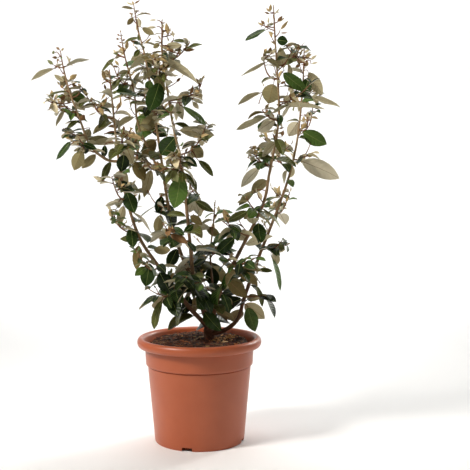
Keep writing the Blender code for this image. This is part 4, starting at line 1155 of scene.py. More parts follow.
# Open places that the photograph shows round and between the leaves: pixel and radius. Scratch
# scripts found these circles in the photograph, so they weren't chosen by hand
skyPlaces = (
    (92, 114, 5), (215, 176, 6), (198, 209, 4), (308, 167, 4), (264, 144, 4), (278, 238, 4),
    (110, 18, 15), (164, 4, 15), (248, 10, 16), (292, 4, 14), (50, 34, 14), (130, 32, 7), (188, 24, 15),
    (238, 24, 16), (302, 28, 15), (32, 58, 15), (78, 42, 15), (100, 44, 15), (238, 56, 15), (252, 52, 12),
    (266, 40, 7), (324, 42, 15), (90, 78, 13), (208, 60, 15), (266, 72, 7), (332, 64, 15), (30, 96, 16),
    (48, 82, 7), (94, 94, 7), (174, 90, 6), (186, 84, 8), (216, 88, 15), (236, 88, 12), (254, 82, 9),
    (338, 86, 15), (216, 110, 14), (224, 114, 15), (248, 110, 8), (258, 106, 8), (46, 120, 10),
    (250, 138, 9), (334, 122, 15), (46, 140, 16), (220, 152, 15), (234, 144, 16), (306, 148, 7),
    (340, 148, 15), (58, 172, 13), (94, 170, 6), (198, 174, 8), (234, 164, 15), (306, 178, 13),
    (354, 164, 16), (80, 184, 15), (108, 192, 9), (154, 186, 8), (208, 188, 13), (224, 188, 15),
    (312, 184, 15), (338, 190, 15), (96, 218, 15), (230, 206, 7), (292, 206, 7), (308, 212, 15),
    (112, 234, 10), (300, 236, 15), (114, 254, 15), (120, 274, 14), (294, 266, 16), (130, 292, 15),
    (270, 288, 9), (294, 296, 15), (152, 198, 6), (290, 116, 5), (114, 72, 5), (312, 124, 5),
    (224, 226, 5), (185, 249, 5), (284, 92, 5), (61, 127, 5), (275, 165, 5), (309, 168, 6), (139, 185, 5),
    (271, 195, 5), (252, 201, 5), (154, 255, 5), (213, 258, 5), (152, 292, 5), (42, 90, 6), (91, 113, 6),
    (193, 42, 5), (183, 55, 5), (206, 180, 6),
)
skyMiddles = np.array([place[:2] for place in skyPlaces])
skyRadii = np.array([place[2] for place in skyPlaces])
proxyCorners = ((0.13, 0, 0), (0.30, 0.9, 0.03), (0.70, 0.72, 0.0), (1, 0, -0.09), (0.70, -0.72, 0.0),
                (0.30, -0.9, 0.03), (0.46, 0, 0))  # a plain leaf that stands for a full one
proxyFaces = [(6, i, (i + 1) % 6) for i in range(6)]


def limbTree(limbs, margin):
    points, faces = [], []
    for limb in limbs.values():
        shape = tube(limb["line"], [(size + margin) * mm for size in limb["sizes"]], 6)
        faces += [[corner + len(points) for corner in face] for face in shape[1]]
        points += shape[0].tolist()
    return BVHTree.FromPolygons(points, faces)


limbsTree = limbTree(limbs, leafRule["limbMargin"])


def inOwnSpace(owner, points):
    gaps = asArray(points)[:, None, :] - segmentStarts[None]
    shares = np.clip((gaps * segmentRuns).sum(2) / (segmentRuns * segmentRuns).sum(1), 0, 1)
    away = np.linalg.norm(gaps - shares[..., None] * segmentRuns, axis=2)
    mine = away[:, segmentOwners == owner].min(1)
    others = away[:, segmentOwners != owner].min(1)
    return bool((mine < others + leafRule["slack"] * mm).all())


def inReach(points):
    # within the solids' box, and above the pot's rim
    low, high = (np.array(corner) for corner in cadBox)
    spare, points = leafRule["reach"] * mm, asArray(points)
    return bool((points > low - spare).all() and (points < high + spare).all()
                and points[:, 2].min() > leafRule["lowestLeaf"] * mm)


def inSky(points):
    # whether any of the points lies where the photograph shows open sky between the leaves
    away = np.linalg.norm(pixelOf(points)[:, None] - skyMiddles[None], axis=2)
    return bool((away < skyRadii - 1.0).any())


def hidesShown(form, points):
    # whether a leaf would stand in front of one that the photograph shows plainly
    pixels = pixelOf(points)
    inside = ((sights["pixels"] > pixels.min(0)) & (sights["pixels"] < pixels.max(0))).all(1)
    for point in sights["points"][inside]:
        sight = Vector(point) - eye
        away = form.ray_cast(eye, sight.normalized())[3]
        if away and away < sight.length - 2 * mm:
            return True
    return False


def crossesShown(points):
    # whether a twig or small leaf would cross in front of a leaf that the photograph shows plainly
    points, here = asArray(points), np.array(cameraPlan["place"])
    near = np.linalg.norm(pixelOf(points)[:, None] - sights["pixels"][None], axis=2) < shownPlan["crossing"]
    ahead = (np.linalg.norm(points - here, axis=1)[:, None]
             < np.linalg.norm(sights["points"] - here, axis=1)[None])
    return bool((near & ahead).any())


def hasRoom(matrix, length, half, owner=None, shown=False):
    # the leaf's plain form if it touches no limb or leaf and, unless the photograph shows it, if it
    # stays in its reach, out of open sky and behind the shown leaves
    corners = [matrix @ (Vector((x, y * half, z)) * length) for x, y, z in proxyCorners]
    points = asArray(corners)
    if not shown and (not inReach(points) or inSky(points)):
        return None
    if owner is not None and not inOwnSpace(owner, points):
        return None
    form = BVHTree.FromPolygons(corners, proxyFaces)
    if (not shown and hidesShown(form, points)) or form.overlap(limbsTree):
        return None
    count = len(room["forms"])
    middle = np.array(matrix @ Vector((0.5 * length, 0, 0)))
    near = np.linalg.norm(room["centres"][:count] - middle, axis=1) < room["radii"][:count] + 0.5 * length
    if any(form.overlap(room["forms"][i]) for i in np.nonzero(near)[0]):
        return None
    return form


def keepLeaf(limb, matrix, length, shape, tints, kind, form=None):
    # records a leaf and, for a full one, the room it takes
    if form:
        count = len(room["forms"])
        room["centres"][count] = matrix @ Vector((0.5 * length, 0, 0))
        room["radii"][count] = 0.55 * length
        room["forms"].append(form)
    room["leaves"].append({"limb": limb, "matrix": matrix, "length": length, "shape": shape,
                           "tints": tints, "kind": kind})


def settleLeaf(limb, owner, root, bearing, pitch, length, turn, facing, tints, dice):
    # tries one swing after another until the leaf has room
    shape = throwShape(dice, root.z)
    for attempt, swing in enumerate(leafRule["swings"]):
        direction = heading(bearing + swing, pitch + abs(swing) * leafRule["swingLift"])
        size = length * (1 - leafRule["swingShrink"] * attempt) * mm
        upper = heading(facing, 90 - turn)
        upper = upper - direction * upper.dot(direction)
        if upper.length < leafRule["upright"]:
            upper = direction.cross(Vector((0, 0, 1)))
        matrix = frameAt(root, direction, upper.normalized())
        form = hasRoom(matrix, size, shape["half"], owner)
        if form:
            keepLeaf(limb, matrix, size, shape, tints, "blade", form)
            return True
    return False


def dealTints(dice, height):
    # the paints of one spray: (upper, upper rib, under, under rib, stalk)
    low, rise = leafRule["silverRise"]
    high = min(1.0, max(0.0, (height - low) / rise))
    upper, under = (dice.choices(paints, [between(*pair, high) for pair in dealt])[0]
                    for paints, dealt in ((greens, paintDeals["green"]), (silvers, paintDeals["silver"])))
    return (upper, ribPale, under, ribBrown, stalk)


def youngTints(dice):
    upper = dice.choices(youngs, paintDeals["youngUpper"])[0]
    under = dice.choices(youngs, paintDeals["youngUnder"])[0]
    return (upper, upper, under, under, stalk)


def addTwig(limb, line, slot):
    radii = woodPlan[("shootRadius", "twigRadius", "twigletRadius")[slot]]
    room["twigs"].append({"limb": limb, "line": line, "radii": radii, "slot": slot})


def cutAt(line, share):
    # the part of a line up to its last leaf, so that no bare end is left
    kept = [at for at, gone in zip(line, sharesAlong(line)) if gone < share - 0.01]
    return kept + [pointAlong(line, share)]


def growSpire(limb, line, kind, dice):
    # small young leaves in a spiral up the end of a twig, the last two together as a bud; it gives
    # back how far up the last of them stands
    plan, tints = spirePlan, youngTints(dice)
    start, longest = plan[kind]
    turn = dice.uniform(0, 6.28)
    along = (line[-1] - line[-2]).normalized()
    side = along.orthogonal().normalized()
    count = max(3, round(lengthOf(line) * (1 - start) / (plan["step"] * mm)) + 1)
    last, missed, fitting = 0.0, 0, []
    for i in range(count):
        up = i / (count - 1)
        share = min(0.999, start + (1 - start) * up)
        root = pointAlong(line, share)
        if missed == plan["misses"] or inSky([root]):
            break
        turn += math.radians(leafRule["spiral"]) + dice.uniform(-plan["turn"], plan["turn"])
        out = side * math.cos(turn) + along.cross(side) * math.sin(turn)
        spread = math.radians(dice.uniform(*plan["spread" if i < count - 2 else "budSpread"]))
        direction = along * math.cos(spread) + out * math.sin(spread)
        length = longest * (1 - plan["taper"] * up) * dice.uniform(*plan["vary"]) * mm
        upper = direction.cross(direction.cross(along).normalized())
        matrix = frameAt(root, direction, upper if upper.dot(along) > 0 else -upper)
        tip = matrix @ Vector((length, 0, 0))
        if inReach([tip]) and not inSky([tip]) and not crossesShown([root, tip]):
            bud = length < plan["budLength"] * mm
            fitting.append((matrix, length, plan["budShape"] if bud else throwYoung(dice, plan["shape"])))
            last, missed = share, 0
        else:
            missed += 1
    if len(fitting) < plan["fewest"]:
        return 0.0
    for matrix, length, shape in fitting:
        keepLeaf(limb, matrix, length, shape, tints, "young")
    return last


def ruledLeaf(line, size, bearing, i, count, dice):
    # the next leaf up a shoot: in a spiral, drooping at its foot and standing at its tip
    rule = leafRule
    share = rule["firstLeaf"] + (1 - rule["firstLeaf"]) * (i + 1) / count
    high = crownShare(line[0].z)
    longest = between(*rule["longest"], high)
    roll = between(*rule["roll"], high)
    shorter = size * (1 - rule["tipShortening"] * share ** 0.8)
    outward = bearing + rule["spiral"] * i + dice.uniform(*rule["firstTurn"])
    pitch = between(*rule["pitchFoot"], high) + between(*rule["pitchRise"], high) * share
    pitch += dice.uniform(*rule["pitchSpread"])
    return (share, outward, pitch, longest * shorter * dice.uniform(*rule["lengthSpread"]),
            dice.uniform(-roll, roll), outward + 90)


def setLeaves(limb, owner, line, size, bearing, steps, count, tints, dice):
    # the ruled leaves of a shoot or twig; it gives back how far up the last of them stands
    last = 0.0
    for i in range(steps):
        share, *way = ruledLeaf(line, size, bearing, i, count, dice)
        if settleLeaf(limb, owner, pointAlong(line, share), *way, tints, dice):
            last = max(last, share)
    return last


def forkTwig(line, share, bearing, rise, length, owner):
    start = pointAlong(line, share)
    for swing in leafRule["swings"]:
        bend = start + heading(bearing + swing, rise / 2) * length * woodPlan["shootBend"]
        end = start + heading(bearing + swing, rise) * length
        twig = arc(start, bend, end, 6)
        clear = min(limbsTree.find_nearest(place)[3] for place in twig[1:]) > leafRule["twigClear"] * mm
        clear = clear and inReach(twig[1:]) and not inSky(twig[1:])
        mine = owner is None or inOwnSpace(owner, twig[1:])
        if clear and mine and not crossesShown(twig[2:]):
            return twig, bearing + swing
    return None, None


def dressTwig(limb, owner, line, bearing, size, dice):
    # a side twig: ruled leaves, a finer twiglet and a spire at its end
    rule, high = leafRule, crownShare(line[0].z)
    young = dice.random() < rule["youngTwigs"] * high
    tints = youngTints(dice) if young else dealTints(dice, line[0].z)
    count = round(between(*rule["perTwig"], high))
    last = setLeaves(limb, owner, line, size, bearing, count, count + 1, tints, dice)
    length = dice.uniform(*rule["twigletLength"]) * mm
    side = bearing + dice.uniform(*rule["twigletTurn"])
    rise = dice.uniform(*rule["twigletRise"])
    twiglet, _ = forkTwig(line, rule["twigletFrom"], side, rise, length, owner)
    if line[0].z > spirePlan["from"]:
        end = growSpire(limb, twiglet, "twiglet", dice) if twiglet else 0
        if end:
            addTwig(limb, cutAt(twiglet, end), 2)
            last = max(last, rule["twigletFrom"] + 0.01)
        last = max(last, growSpire(limb, line, "twig", dice))
    if last:
        addTwig(limb, cutAt(line, last), 1)
    return last > 0


def standsIn(ends):
    # whether a leaf placed from the photograph already stands where one of the solids' leaves would
    shown = np.array([row[:4] for row in shownLeaves]).reshape(-1, 2, 2)
    away = np.linalg.norm(shown - ends[None], axis=2)
    return bool(((away[:, 1] < shownPlan["sameTip"]) & (away[:, 0] < shownPlan["sameFoot"])).any())


def dressShoot(owner, shoot):
    rule = leafRule
    dice = random.Random(rule["seed"] + owner)
    limb, line, atTip = shoot["limb"], shoot["line"], shoot["atTip"]
    last = 0.3
    tints = dealTints(dice, line[0].z)
    for share, bearing, pitch, length, turn in shoot["leaves"]:
        root = pointAlong(line, share)
        if not standsIn(pixelOf([root, root + heading(bearing, pitch) * length * mm])):
            settled = settleLeaf(limb, owner, root, bearing, pitch, length, turn, rule["viewer"], tints, dice)
            last = max(last, share * settled)
    full = between(*rule["perShoot"], crownShare(line[0].z)) * rule["fullness"][limb]
    count = rule["perTip"] if atTip else round(full)
    last = max(last, setLeaves(limb, owner, line, shoot["size"], shoot["bearing"], count, count, tints, dice))
    reach = (line[-1] - line[0]).length
    for i in range(1 if atTip else rule["twigs"]):
        side = shoot["side"] * (-1) ** i
        bearing = shoot["bearing"] + side * dice.uniform(*rule["twigTurn"])
        length = reach * dice.uniform(*rule["twigShare"]) * (1 - rule["twigShorter"] * i)
        share = rule["twigFrom"][0] + rule["twigFrom"][1] * i
        twig, toward = forkTwig(line, share, bearing, dice.uniform(*rule["twigRise"]), length, owner)
        if twig and dressTwig(limb, owner, twig, toward, rule["twigLeaf"] * shoot["size"], dice):
            last = max(last, share + 0.01)
    # a tip that the photograph shows has its own young leaves already
    grows = limb not in shownTips if atTip else line[0].z > spirePlan["from"]
    if grows:
        last = max(last, growSpire(limb, line, "shootTip" if atTip else "twig", dice))
    addTwig(limb, line if atTip else cutAt(line, min(last, 0.999)), 0)


def dressLimb(name, limb):
    # short spurs and single leaves up the limb itself, between its shoots
    rule = leafRule
    dice = random.Random(rule["seed"] + 31 * len(name) + int(1000 * limb["sizes"][0]))
    line = limb["line"]
    total = lengthOf(line)
    gone, bearing = 0.0, dice.uniform(0, 360)
    while gone < total - rule["spurEnd"] * mm:
        here = pointAlong(line, min(0.99, gone / total))
        step = between(*rule["spurEvery"], crownShare(here.z)) / rule["fullness"][name]
        gone += step * dice.uniform(*rule["spurVary"]) * mm
        bearing += rule["spiral"] + dice.uniform(*rule["limbTurn"])
        at = pointAlong(line, min(0.99, gone / total))
        if at.z < rule["spurFrom"] * mm:
            continue
        longest = between(*rule["longest"], crownShare(at.z)) * dice.uniform(*rule["spurLeaf"])
        tints = dealTints(dice, at.z)
        pitch, roll = dice.uniform(*rule["spurPitch"]), dice.uniform(*rule["spurRoll"])
        settleLeaf(name, None, at, bearing, pitch, longest, roll, bearing + 90, tints, dice)
        length = dice.uniform(*rule["spurLength"]) * mm
        side = bearing + dice.uniform(*rule["spurTurn"])
        spur, _ = forkTwig([at, at + Vector((0, 0, mm))], 0.5, side, dice.uniform(*rule["spurLean"]),
                           length, None)
        end = growSpire(name, spur, "spur", dice) if spur else 0
        if end:
            addTwig(name, cutAt(spur, end), 2)


def dressFoot(name, limb):
    # the dense skirt of leaves that hang from the stems just above the pot
    rule = leafRule
    dice = random.Random(rule["seed"] + 57 + int(1000 * limb["line"][4].x))
    height, bearing = rule["footFrom"], dice.uniform(0, 360)
    while height < min(rule["footTo"], limb["line"][-1].z / mm - rule["footEnd"]):
        at = atHeight(limb, height)[0]
        bearing += rule["spiral"] + dice.uniform(*rule["limbTurn"])
        pitch, length = dice.uniform(*rule["footPitch"]), dice.uniform(*rule["footLength"])
        roll = dice.uniform(*rule["footRoll"])
        settleLeaf(name, None, at, bearing, pitch, length, roll, bearing + 90, dealTints(dice, at.z), dice)
        height += rule["footEvery"] * dice.uniform(*rule["footVary"])


# Leaves that the photograph shows plainly: pixel of the stalk's foot and of the tip, the side that
# shows (g upper: d deep, m mid, l light, o olive; s under: p pale, k khaki, o olive, b bronze), and
# how wide the leaf looks for its length. The tone letter follows how light or dark each leaf looks,
# so it paints the leaf's own colour together with painted light and shade: a leaf that stood lit or
# caught a glossy highlight gets a lighter paint, and one that stood in shade gets a darker one

shownLeaves = (
    (64, 67, 90, 59, "sp", 0.15), (56, 68, 30, 80, "sk", 0.20), (70, 97, 86, 98, "gl", 0.60),
    (66, 108, 56, 127, "sk", 0.22), (79, 120, 66, 128, "go", 0.33), (72, 140, 56, 160, "gm", 0.28),
    (83, 149, 73, 170, "so", 0.56), (97, 153, 82, 169, "so", 0.40), (99, 104, 82, 108, "so", 0.24),
    (105, 144, 104, 158, "gd", 0.45), (124, 153, 122, 172, "gd", 0.68), (112, 160, 101, 181, "go", 0.33),
    (132, 160, 146, 180, "sb", 0.50), (126, 190, 134, 213, "gm", 0.58), (124, 204, 119, 225, "sk", 0.40),
    (120, 201, 105, 206, "sp", 0.28), (131, 226, 133, 248, "gm", 0.55), (139, 243, 136, 270, "sb", 0.38),
    (150, 261, 146, 287, "gm", 0.58), (158, 270, 172, 295, "gd", 0.56), (163, 298, 152, 329, "go", 0.24),
    (152, 167, 144, 198, "sk", 0.34), (181, 173, 176, 209, "gl", 0.54), (163, 195, 156, 213, "gd", 0.5),
    (161, 213, 157, 234, "so", 0.5), (160, 80, 151, 112, "gm", 0.56), (157, 59, 201, 84, "sk", 0.16),
    (180, 105, 207, 125, "gl", 0.18), (176, 130, 215, 136, "sk", 0.30), (190, 145, 203, 158, "so", 0.7),
    (182, 156, 198, 166, "gd", 0.40), (197, 159, 214, 176, "go", 0.30), (123, 76, 111, 91, "go", 0.27),
    (116, 57, 101, 72, "go", 0.20), (158, 112, 138, 137, "so", 0.40), (146, 110, 136, 137, "go", 0.30),
    (149, 125, 167, 136, "gd", 0.56), (177, 135, 160, 155, "gm", 0.60), (157, 139, 141, 157, "sb", 0.56),
    (152, 250, 171, 250, "so", 0.50), (194, 200, 214, 211, "go", 0.36), (189, 215, 203, 224, "sb", 0.50),
    (205, 227, 221, 236, "so", 0.45), (194, 224, 184, 233, "gm", 0.45), (236, 236, 216, 255, "gm", 0.45),
    (178, 247, 168, 268, "gd", 0.52), (192, 267, 206, 258, "gd", 0.40), (211, 265, 213, 287, "gd", 0.60),
    (190, 294, 184, 316, "gd", 0.45), (249, 210, 228, 222, "go", 0.36), (256, 190, 238, 205, "so", 0.33),
    (261, 166, 240, 187, "sp", 0.36), (258, 221, 260, 243, "gm", 0.62), (240, 261, 238, 276, "gd", 0.56),
    (226, 279, 247, 297, "sb", 0.48), (222, 292, 231, 313, "gm", 0.45), (247, 305, 255, 332, "gl", 0.50),
    (255, 284, 263, 307, "go", 0.22), (271, 255, 281, 291, "gl", 0.12), (256, 270, 273, 271, "go", 0.27),
    (298, 160, 341, 176, "sp", 0.40), (301, 130, 326, 146, "gl", 0.52), (309, 97, 341, 108, "sk", 0.20),
    (307, 70, 323, 95, "sk", 0.40), (309, 76, 303, 98, "gm", 0.48), (281, 71, 306, 92, "gl", 0.40),
    (280, 106, 326, 109, "sk", 0.14), (274, 82, 268, 104, "so", 0.80), (263, 92, 237, 104, "sk", 0.20),
    (276, 119, 257, 131, "sp", 0.55), (269, 115, 236, 130, "sk", 0.15), (269, 61, 240, 77, "sk", 0.13),
    (268, 29, 245, 41, "gm", 0.20), (276, 40, 288, 41, "gm", 0.85), (299, 121, 288, 136, "sp", 0.70),
    (284, 70, 279, 47, "sk", 0.45), (278, 141, 261, 157, "sk", 0.32), (141, 27, 154, 35, "so", 0.45),
    (134, 17, 127, 25, "sb", 0.5), (154, 52, 128, 70, "sk", 0.20), (165, 45, 182, 46, "sk", 0.42),
    (172, 41, 186, 41, "go", 0.25), (140, 49, 134, 57, "go", 0.55), (160, 43, 153, 48, "so", 0.60),
    (144, 61, 153, 69, "go", 0.30), (142, 69, 128, 100, "sk", 0.16), (151, 80, 147, 91, "gl", 0.65),
    (65, 82, 54, 75, "sk", 0.38), (66, 84, 70, 104, "sk", 0.42), (90, 128, 84, 141, "sk", 0.58),
    (110, 138, 88, 139, "so", 0.22), (104, 134, 122, 133, "gd", 0.18), (82, 143, 97, 149, "gm", 0.40),
    (288, 105, 272, 113, "sk", 0.22), (291, 104, 282, 118, "sp", 0.20), (134, 9, 121, 7, "so", 0.25),
)
# Small young leaves that show plainly: pixel of the foot and of the tip, how wide they look in
# pixels, and their paint (t tan, b bronze, s silver, g green)
shownYoung = (
    (134, 4, 140, 0, 1.6, "b"), (134, 5, 126, 2.5, 1.5, "s"), (134, 5, 132, 1, 1.5, "t"),
    (139, 12, 153, 15, 1.0, "b"), (138, 17, 140, 28, 4.5, "s"), (141, 44, 130, 41, 3.5, "b"),
    (144, 44, 152, 38, 2.0, "t"), (157, 20, 149, 20, 1.6, "s"), (161, 23, 166, 23, 1.2, "b"),
    (157, 27, 146, 28, 2.4, "s"), (162, 32, 167, 30, 1.6, "b"), (161, 40, 158, 35, 1.3, "t"),
    (174, 38, 172, 30, 2.2, "s"), (182, 49, 195, 50, 4.0, "b"), (179, 49, 181, 44, 3.0, "b"),
    (165, 50, 175, 50, 1.4, "b"), (156, 71, 156, 64, 4.5, "t"), (121, 33, 120, 30, 1.2, "b"),
    (120, 36, 117, 34, 1.4, "b"), (119, 39, 116, 39, 2.2, "b"), (122, 41, 125, 39, 1.6, "b"),
    (122, 43, 119, 42, 1.3, "b"), (122, 48, 117, 45, 1.8, "b"), (124, 55, 121, 47, 5.5, "t"),
    (119, 54, 113, 53, 2.4, "g"), (126, 50, 128, 40, 3.0, "t"), (119, 66, 115, 60, 2.6, "t"),
    (119, 67, 112, 66, 2.0, "b"), (270, 12, 271, 4, 3.0, "t"), (270, 12, 266, 8, 2.0, "t"),
    (270, 14, 264, 12, 1.8, "b"), (273, 15, 275, 21, 1.8, "t"), (274, 15, 280, 8, 1.3, "s"),
    (277, 22, 283, 16, 3.0, "b"), (278, 22, 285, 18, 1.8, "t"), (274, 24, 268, 25, 2.2, "g"),
    (265, 25, 261, 20, 2.6, "b"), (264, 25, 258, 23, 1.6, "t"), (268, 24, 269, 17, 1.6, "s"),
    (280, 30, 289, 21, 2.8, "t"), (280, 33, 288, 33, 1.4, "b"), (274, 34, 269, 32, 1.8, "t"),
    (286, 45, 296, 43, 2.8, "s"), (286, 46, 292, 46, 1.8, "b"), (290, 54, 296, 48, 2.8, "t"),
    (269, 54, 271, 47, 3.2, "b"), (269, 56, 264, 55, 1.8, "b"), (301, 50, 302, 45, 1.4, "b"),
    (300, 49, 298, 46, 1.5, "t"), (304, 52, 310, 50, 2.0, "s"), (306, 55, 311, 52, 1.8, "s"),
    (310, 60, 317, 55, 2.4, "s"), (311, 64, 318, 62, 1.8, "s"), (303, 62, 303, 55, 4.5, "b"),
    (306, 60, 300, 57, 3.0, "b"), (305, 67, 307, 60, 5.0, "t"), (300, 65, 295, 67, 3.0, "b"),
    (298, 57, 293, 55, 1.5, "b"), (297, 60, 292, 61, 2.0, "b"), (297, 58, 297, 51, 1.8, "s"),
    (60, 50, 56, 47, 2.0, "b"), (61, 51, 64, 48, 1.6, "t"), (55, 53, 52, 52, 3.0, "g"),
    (58, 58, 52, 57, 2.6, "b"), (59, 61, 57, 59, 2.2, "b"), (54, 65, 47, 60, 2.6, "g"),
    (69, 80, 77, 74, 4.6, "t"), (71, 84, 78, 87, 2.6, "b"), (72, 84, 77, 82, 1.5, "t"),
    (66, 96, 59, 98, 5.5, "b"), (53, 99, 51, 90, 3.6, "t"), (53, 100, 46, 99, 2.0, "s"),
    (54, 104, 48, 110, 2.2, "b"), (106, 90, 104, 84, 2.2, "b"), (106, 92, 101, 100, 1.8, "t"),
    (112, 94, 117, 91, 2.4, "g"), (103, 102, 99, 109, 1.5, "s"), (80, 121, 85, 115, 4.8, "b"),
    (102, 117, 101, 121, 3.6, "g"), (97, 112, 88, 116, 1.2, "s"), (68, 106, 58, 107, 1.6, "b"),
    (66, 109, 60, 111, 1.8, "t"), (74, 139, 64, 136, 3.8, "t"), (69, 129, 65, 132, 2.0, "g"),
    (177, 66, 168, 72, 3.6, "s"), (167, 76, 179, 75, 1.6, "s"), (168, 80, 173, 83, 2.0, "b"),
    (190, 95, 180, 94, 2.6, "t"), (195, 97, 196, 91, 2.0, "s"), (198, 95, 203, 96, 3.2, "s"),
    (192, 101, 199, 109, 4.0, "s"), (171, 99, 178, 99, 2.2, "g"), (175, 112, 182, 113, 2.2, "g"),
    (128, 82, 121, 87, 3.2, "b"), (277, 80, 271, 78, 2.0, "s"), (280, 84, 286, 81, 2.2, "b"),
    (289, 100, 296, 91, 4.0, "t"), (286, 100, 283, 99, 3.0, "b"), (276, 130, 264, 133, 1.8, "s"),
    (279, 129, 284, 127, 1.8, "b"), (282, 137, 283, 130, 3.0, "b"), (309, 113, 314, 113, 2.4, "t"),
    (307, 120, 312, 120, 1.6, "b"), (303, 115, 307, 115, 1.4, "b"),
)
# Fine twigs that show plainly: pixels of the foot, the bend and the tip
shownTwigs = (
    (274, 30, 268, 28, 264, 25), (276, 37, 279, 33, 280, 30), (275, 60, 270, 57, 269, 54),
    (278, 71, 286, 62, 291, 52), (278, 106, 285, 103, 290, 99), (61, 69, 58, 67, 54, 65),
    (60, 57, 58, 53, 56, 52), (68, 104, 60, 104, 53, 100), (80, 119, 74, 114, 66, 107),
    (75, 115, 68, 116, 62, 118), (111, 119, 104, 115, 94, 108), (113, 97, 110, 94, 106, 90),
    (163, 46, 170, 47, 174, 49), (162, 53, 152, 51, 144, 45), (162, 54, 154, 57, 146, 61),
    (170, 102, 184, 102, 196, 96), (174, 57, 179, 52, 182, 50), (171, 124, 180, 119, 188, 114),
    (137, 14, 138, 11, 141, 11), (161, 25, 160, 21, 157, 20), (161, 30, 160, 27, 156, 27),
    (300, 130, 306, 122, 308, 110), (304, 68, 306, 62, 310, 60), (126, 57, 122, 57, 117, 55),
    (122, 72, 119, 68, 116, 66), (277, 80, 281, 74, 285, 70),
)
shownPlan = {
    "wood": 6.0, "woodFrom": 0.24, "leans": (0.0, 0.3, -0.3, 0.55, -0.55, 0.15, -0.15), "arch": 0.6,
    "wide": (0.32, 0.44), "fold": 0.5, "farthest": 22.0, "onWood": 1.5, "stalkLift": 0.15,
    "youngLean": (-0.6, 0.6), "youngOnWood": 1.0, "youngHalf": 0.58,
    "youngShape": {"arch": (-0.1, 0.5), "sway": (-0.08, 0.08), "fold": (0.1, 0.4)},
    "twigLean": (-8, 8), "leafSeed": 900, "youngSeed": 1300, "twigSeed": 61,
    "sights": [(share, side) for share in (0.25, 0.5, 0.75) for side in (-0.6, 0, 0.6)],
    "sameTip": 13, "sameFoot": 24, "crossing": 3.6,  # pixels
}
shownTips = ("far_left", "left_tall", "left_middle", "left_inner", "left_low", "right_inner", "right_outer")
shownPaints = {"g": dict(zip("dmlo", greens)), "s": dict(zip("pkob", silvers)),
               "young": dict(zip("tbsg", youngs))}


def woodPlaces(limbs, shoots):
    # places along all limbs and shoots, and which limb each belongs to
    places, owners = [], []
    lines = [(name, limb["line"]) for name, limb in limbs.items()]
    lines += [(shoot["limb"], shoot["line"]) for shoot in shoots]
    for name, line in lines:
        count = max(3, round(lengthOf(line) / (shownPlan["wood"] * mm)))
        for i in range(count + 1):
            at = pointAlong(line, min(0.999, i / count))
            if at.z > shownPlan["woodFrom"]:
                places.append(at)
                owners.append(name)
    return places, owners


def nearestWood(x, y, places, owners, pixels):
    near = int(np.argmin(np.hypot(pixels[:, 0] - x, pixels[:, 1] - y)))
    return places[near], owners[near], pixelAtDepth(x, y, places[near].y)


def towardEye(root, tip):
    # direction and length of a leaf, and the way its side that the viewer sees faces
    direction = (tip - root).normalized()
    toEye = (eye - root).normalized()
    return direction, (tip - root).length, (toEye - direction * toEye.dot(direction)).normalized()


def placeTwigs(places, owners):
    # the fine twigs of the photograph, at the depth of the wood that they leave
    pixels = pixelOf(places)
    dice = random.Random(shownPlan["twigSeed"])
    for x1, y1, x2, y2, x3, y3 in shownTwigs:
        wood, limb, root = nearestWood(x1, y1, places, owners, pixels)
        if (root - wood).length > shownPlan["farthest"] * mm:
            continue
        lean = dice.uniform(*shownPlan["twigLean"]) * mm
        bend = pixelAtDepth(x2, y2, wood.y + 0.4 * lean)
        tip = pixelAtDepth(x3, y3, wood.y + lean)
        line = arc(wood, 2 * bend - wood.lerp(tip, 0.5), tip, 6)
        addTwig(limb, line, 1)
        places += line[1:]
        owners += [limb] * 6


def placeYoung(places, owners):
    # the small young leaves of the photograph, each on the nearest wood, by a short stalk if need be
    pixels = pixelOf(places)
    for number, (x1, y1, x2, y2, wide, paint) in enumerate(shownYoung):
        dice = random.Random(shownPlan["youngSeed"] + number)
        wood, limb, root = nearestWood(x1, y1, places, owners, pixels)
        if (root - wood).length > shownPlan["farthest"] * mm:
            continue
        flat = (pixelAtDepth(x2, y2, wood.y) - root).length
        tip = pixelAtDepth(x2, y2, wood.y + dice.uniform(*shownPlan["youngLean"]) * flat)
        direction, length, facing = towardEye(root, tip)
        if direction.cross(facing).z < 0:
            facing = -facing
        shape = throwYoung(dice, shownPlan["youngShape"])
        shape["half"] = shownPlan["youngHalf"] * (wide / math.hypot(x2 - x1, y2 - y1))
        tints = (shownPaints["young"][paint],) * 4 + (stalk,)
        keepLeaf(limb, frameAt(root, direction, facing), length, shape, tints, "young")
        if (root - wood).length > shownPlan["youngOnWood"] * mm:
            addTwig(limb, arc(wood, wood.lerp(root, 0.5), root, 2), 2)


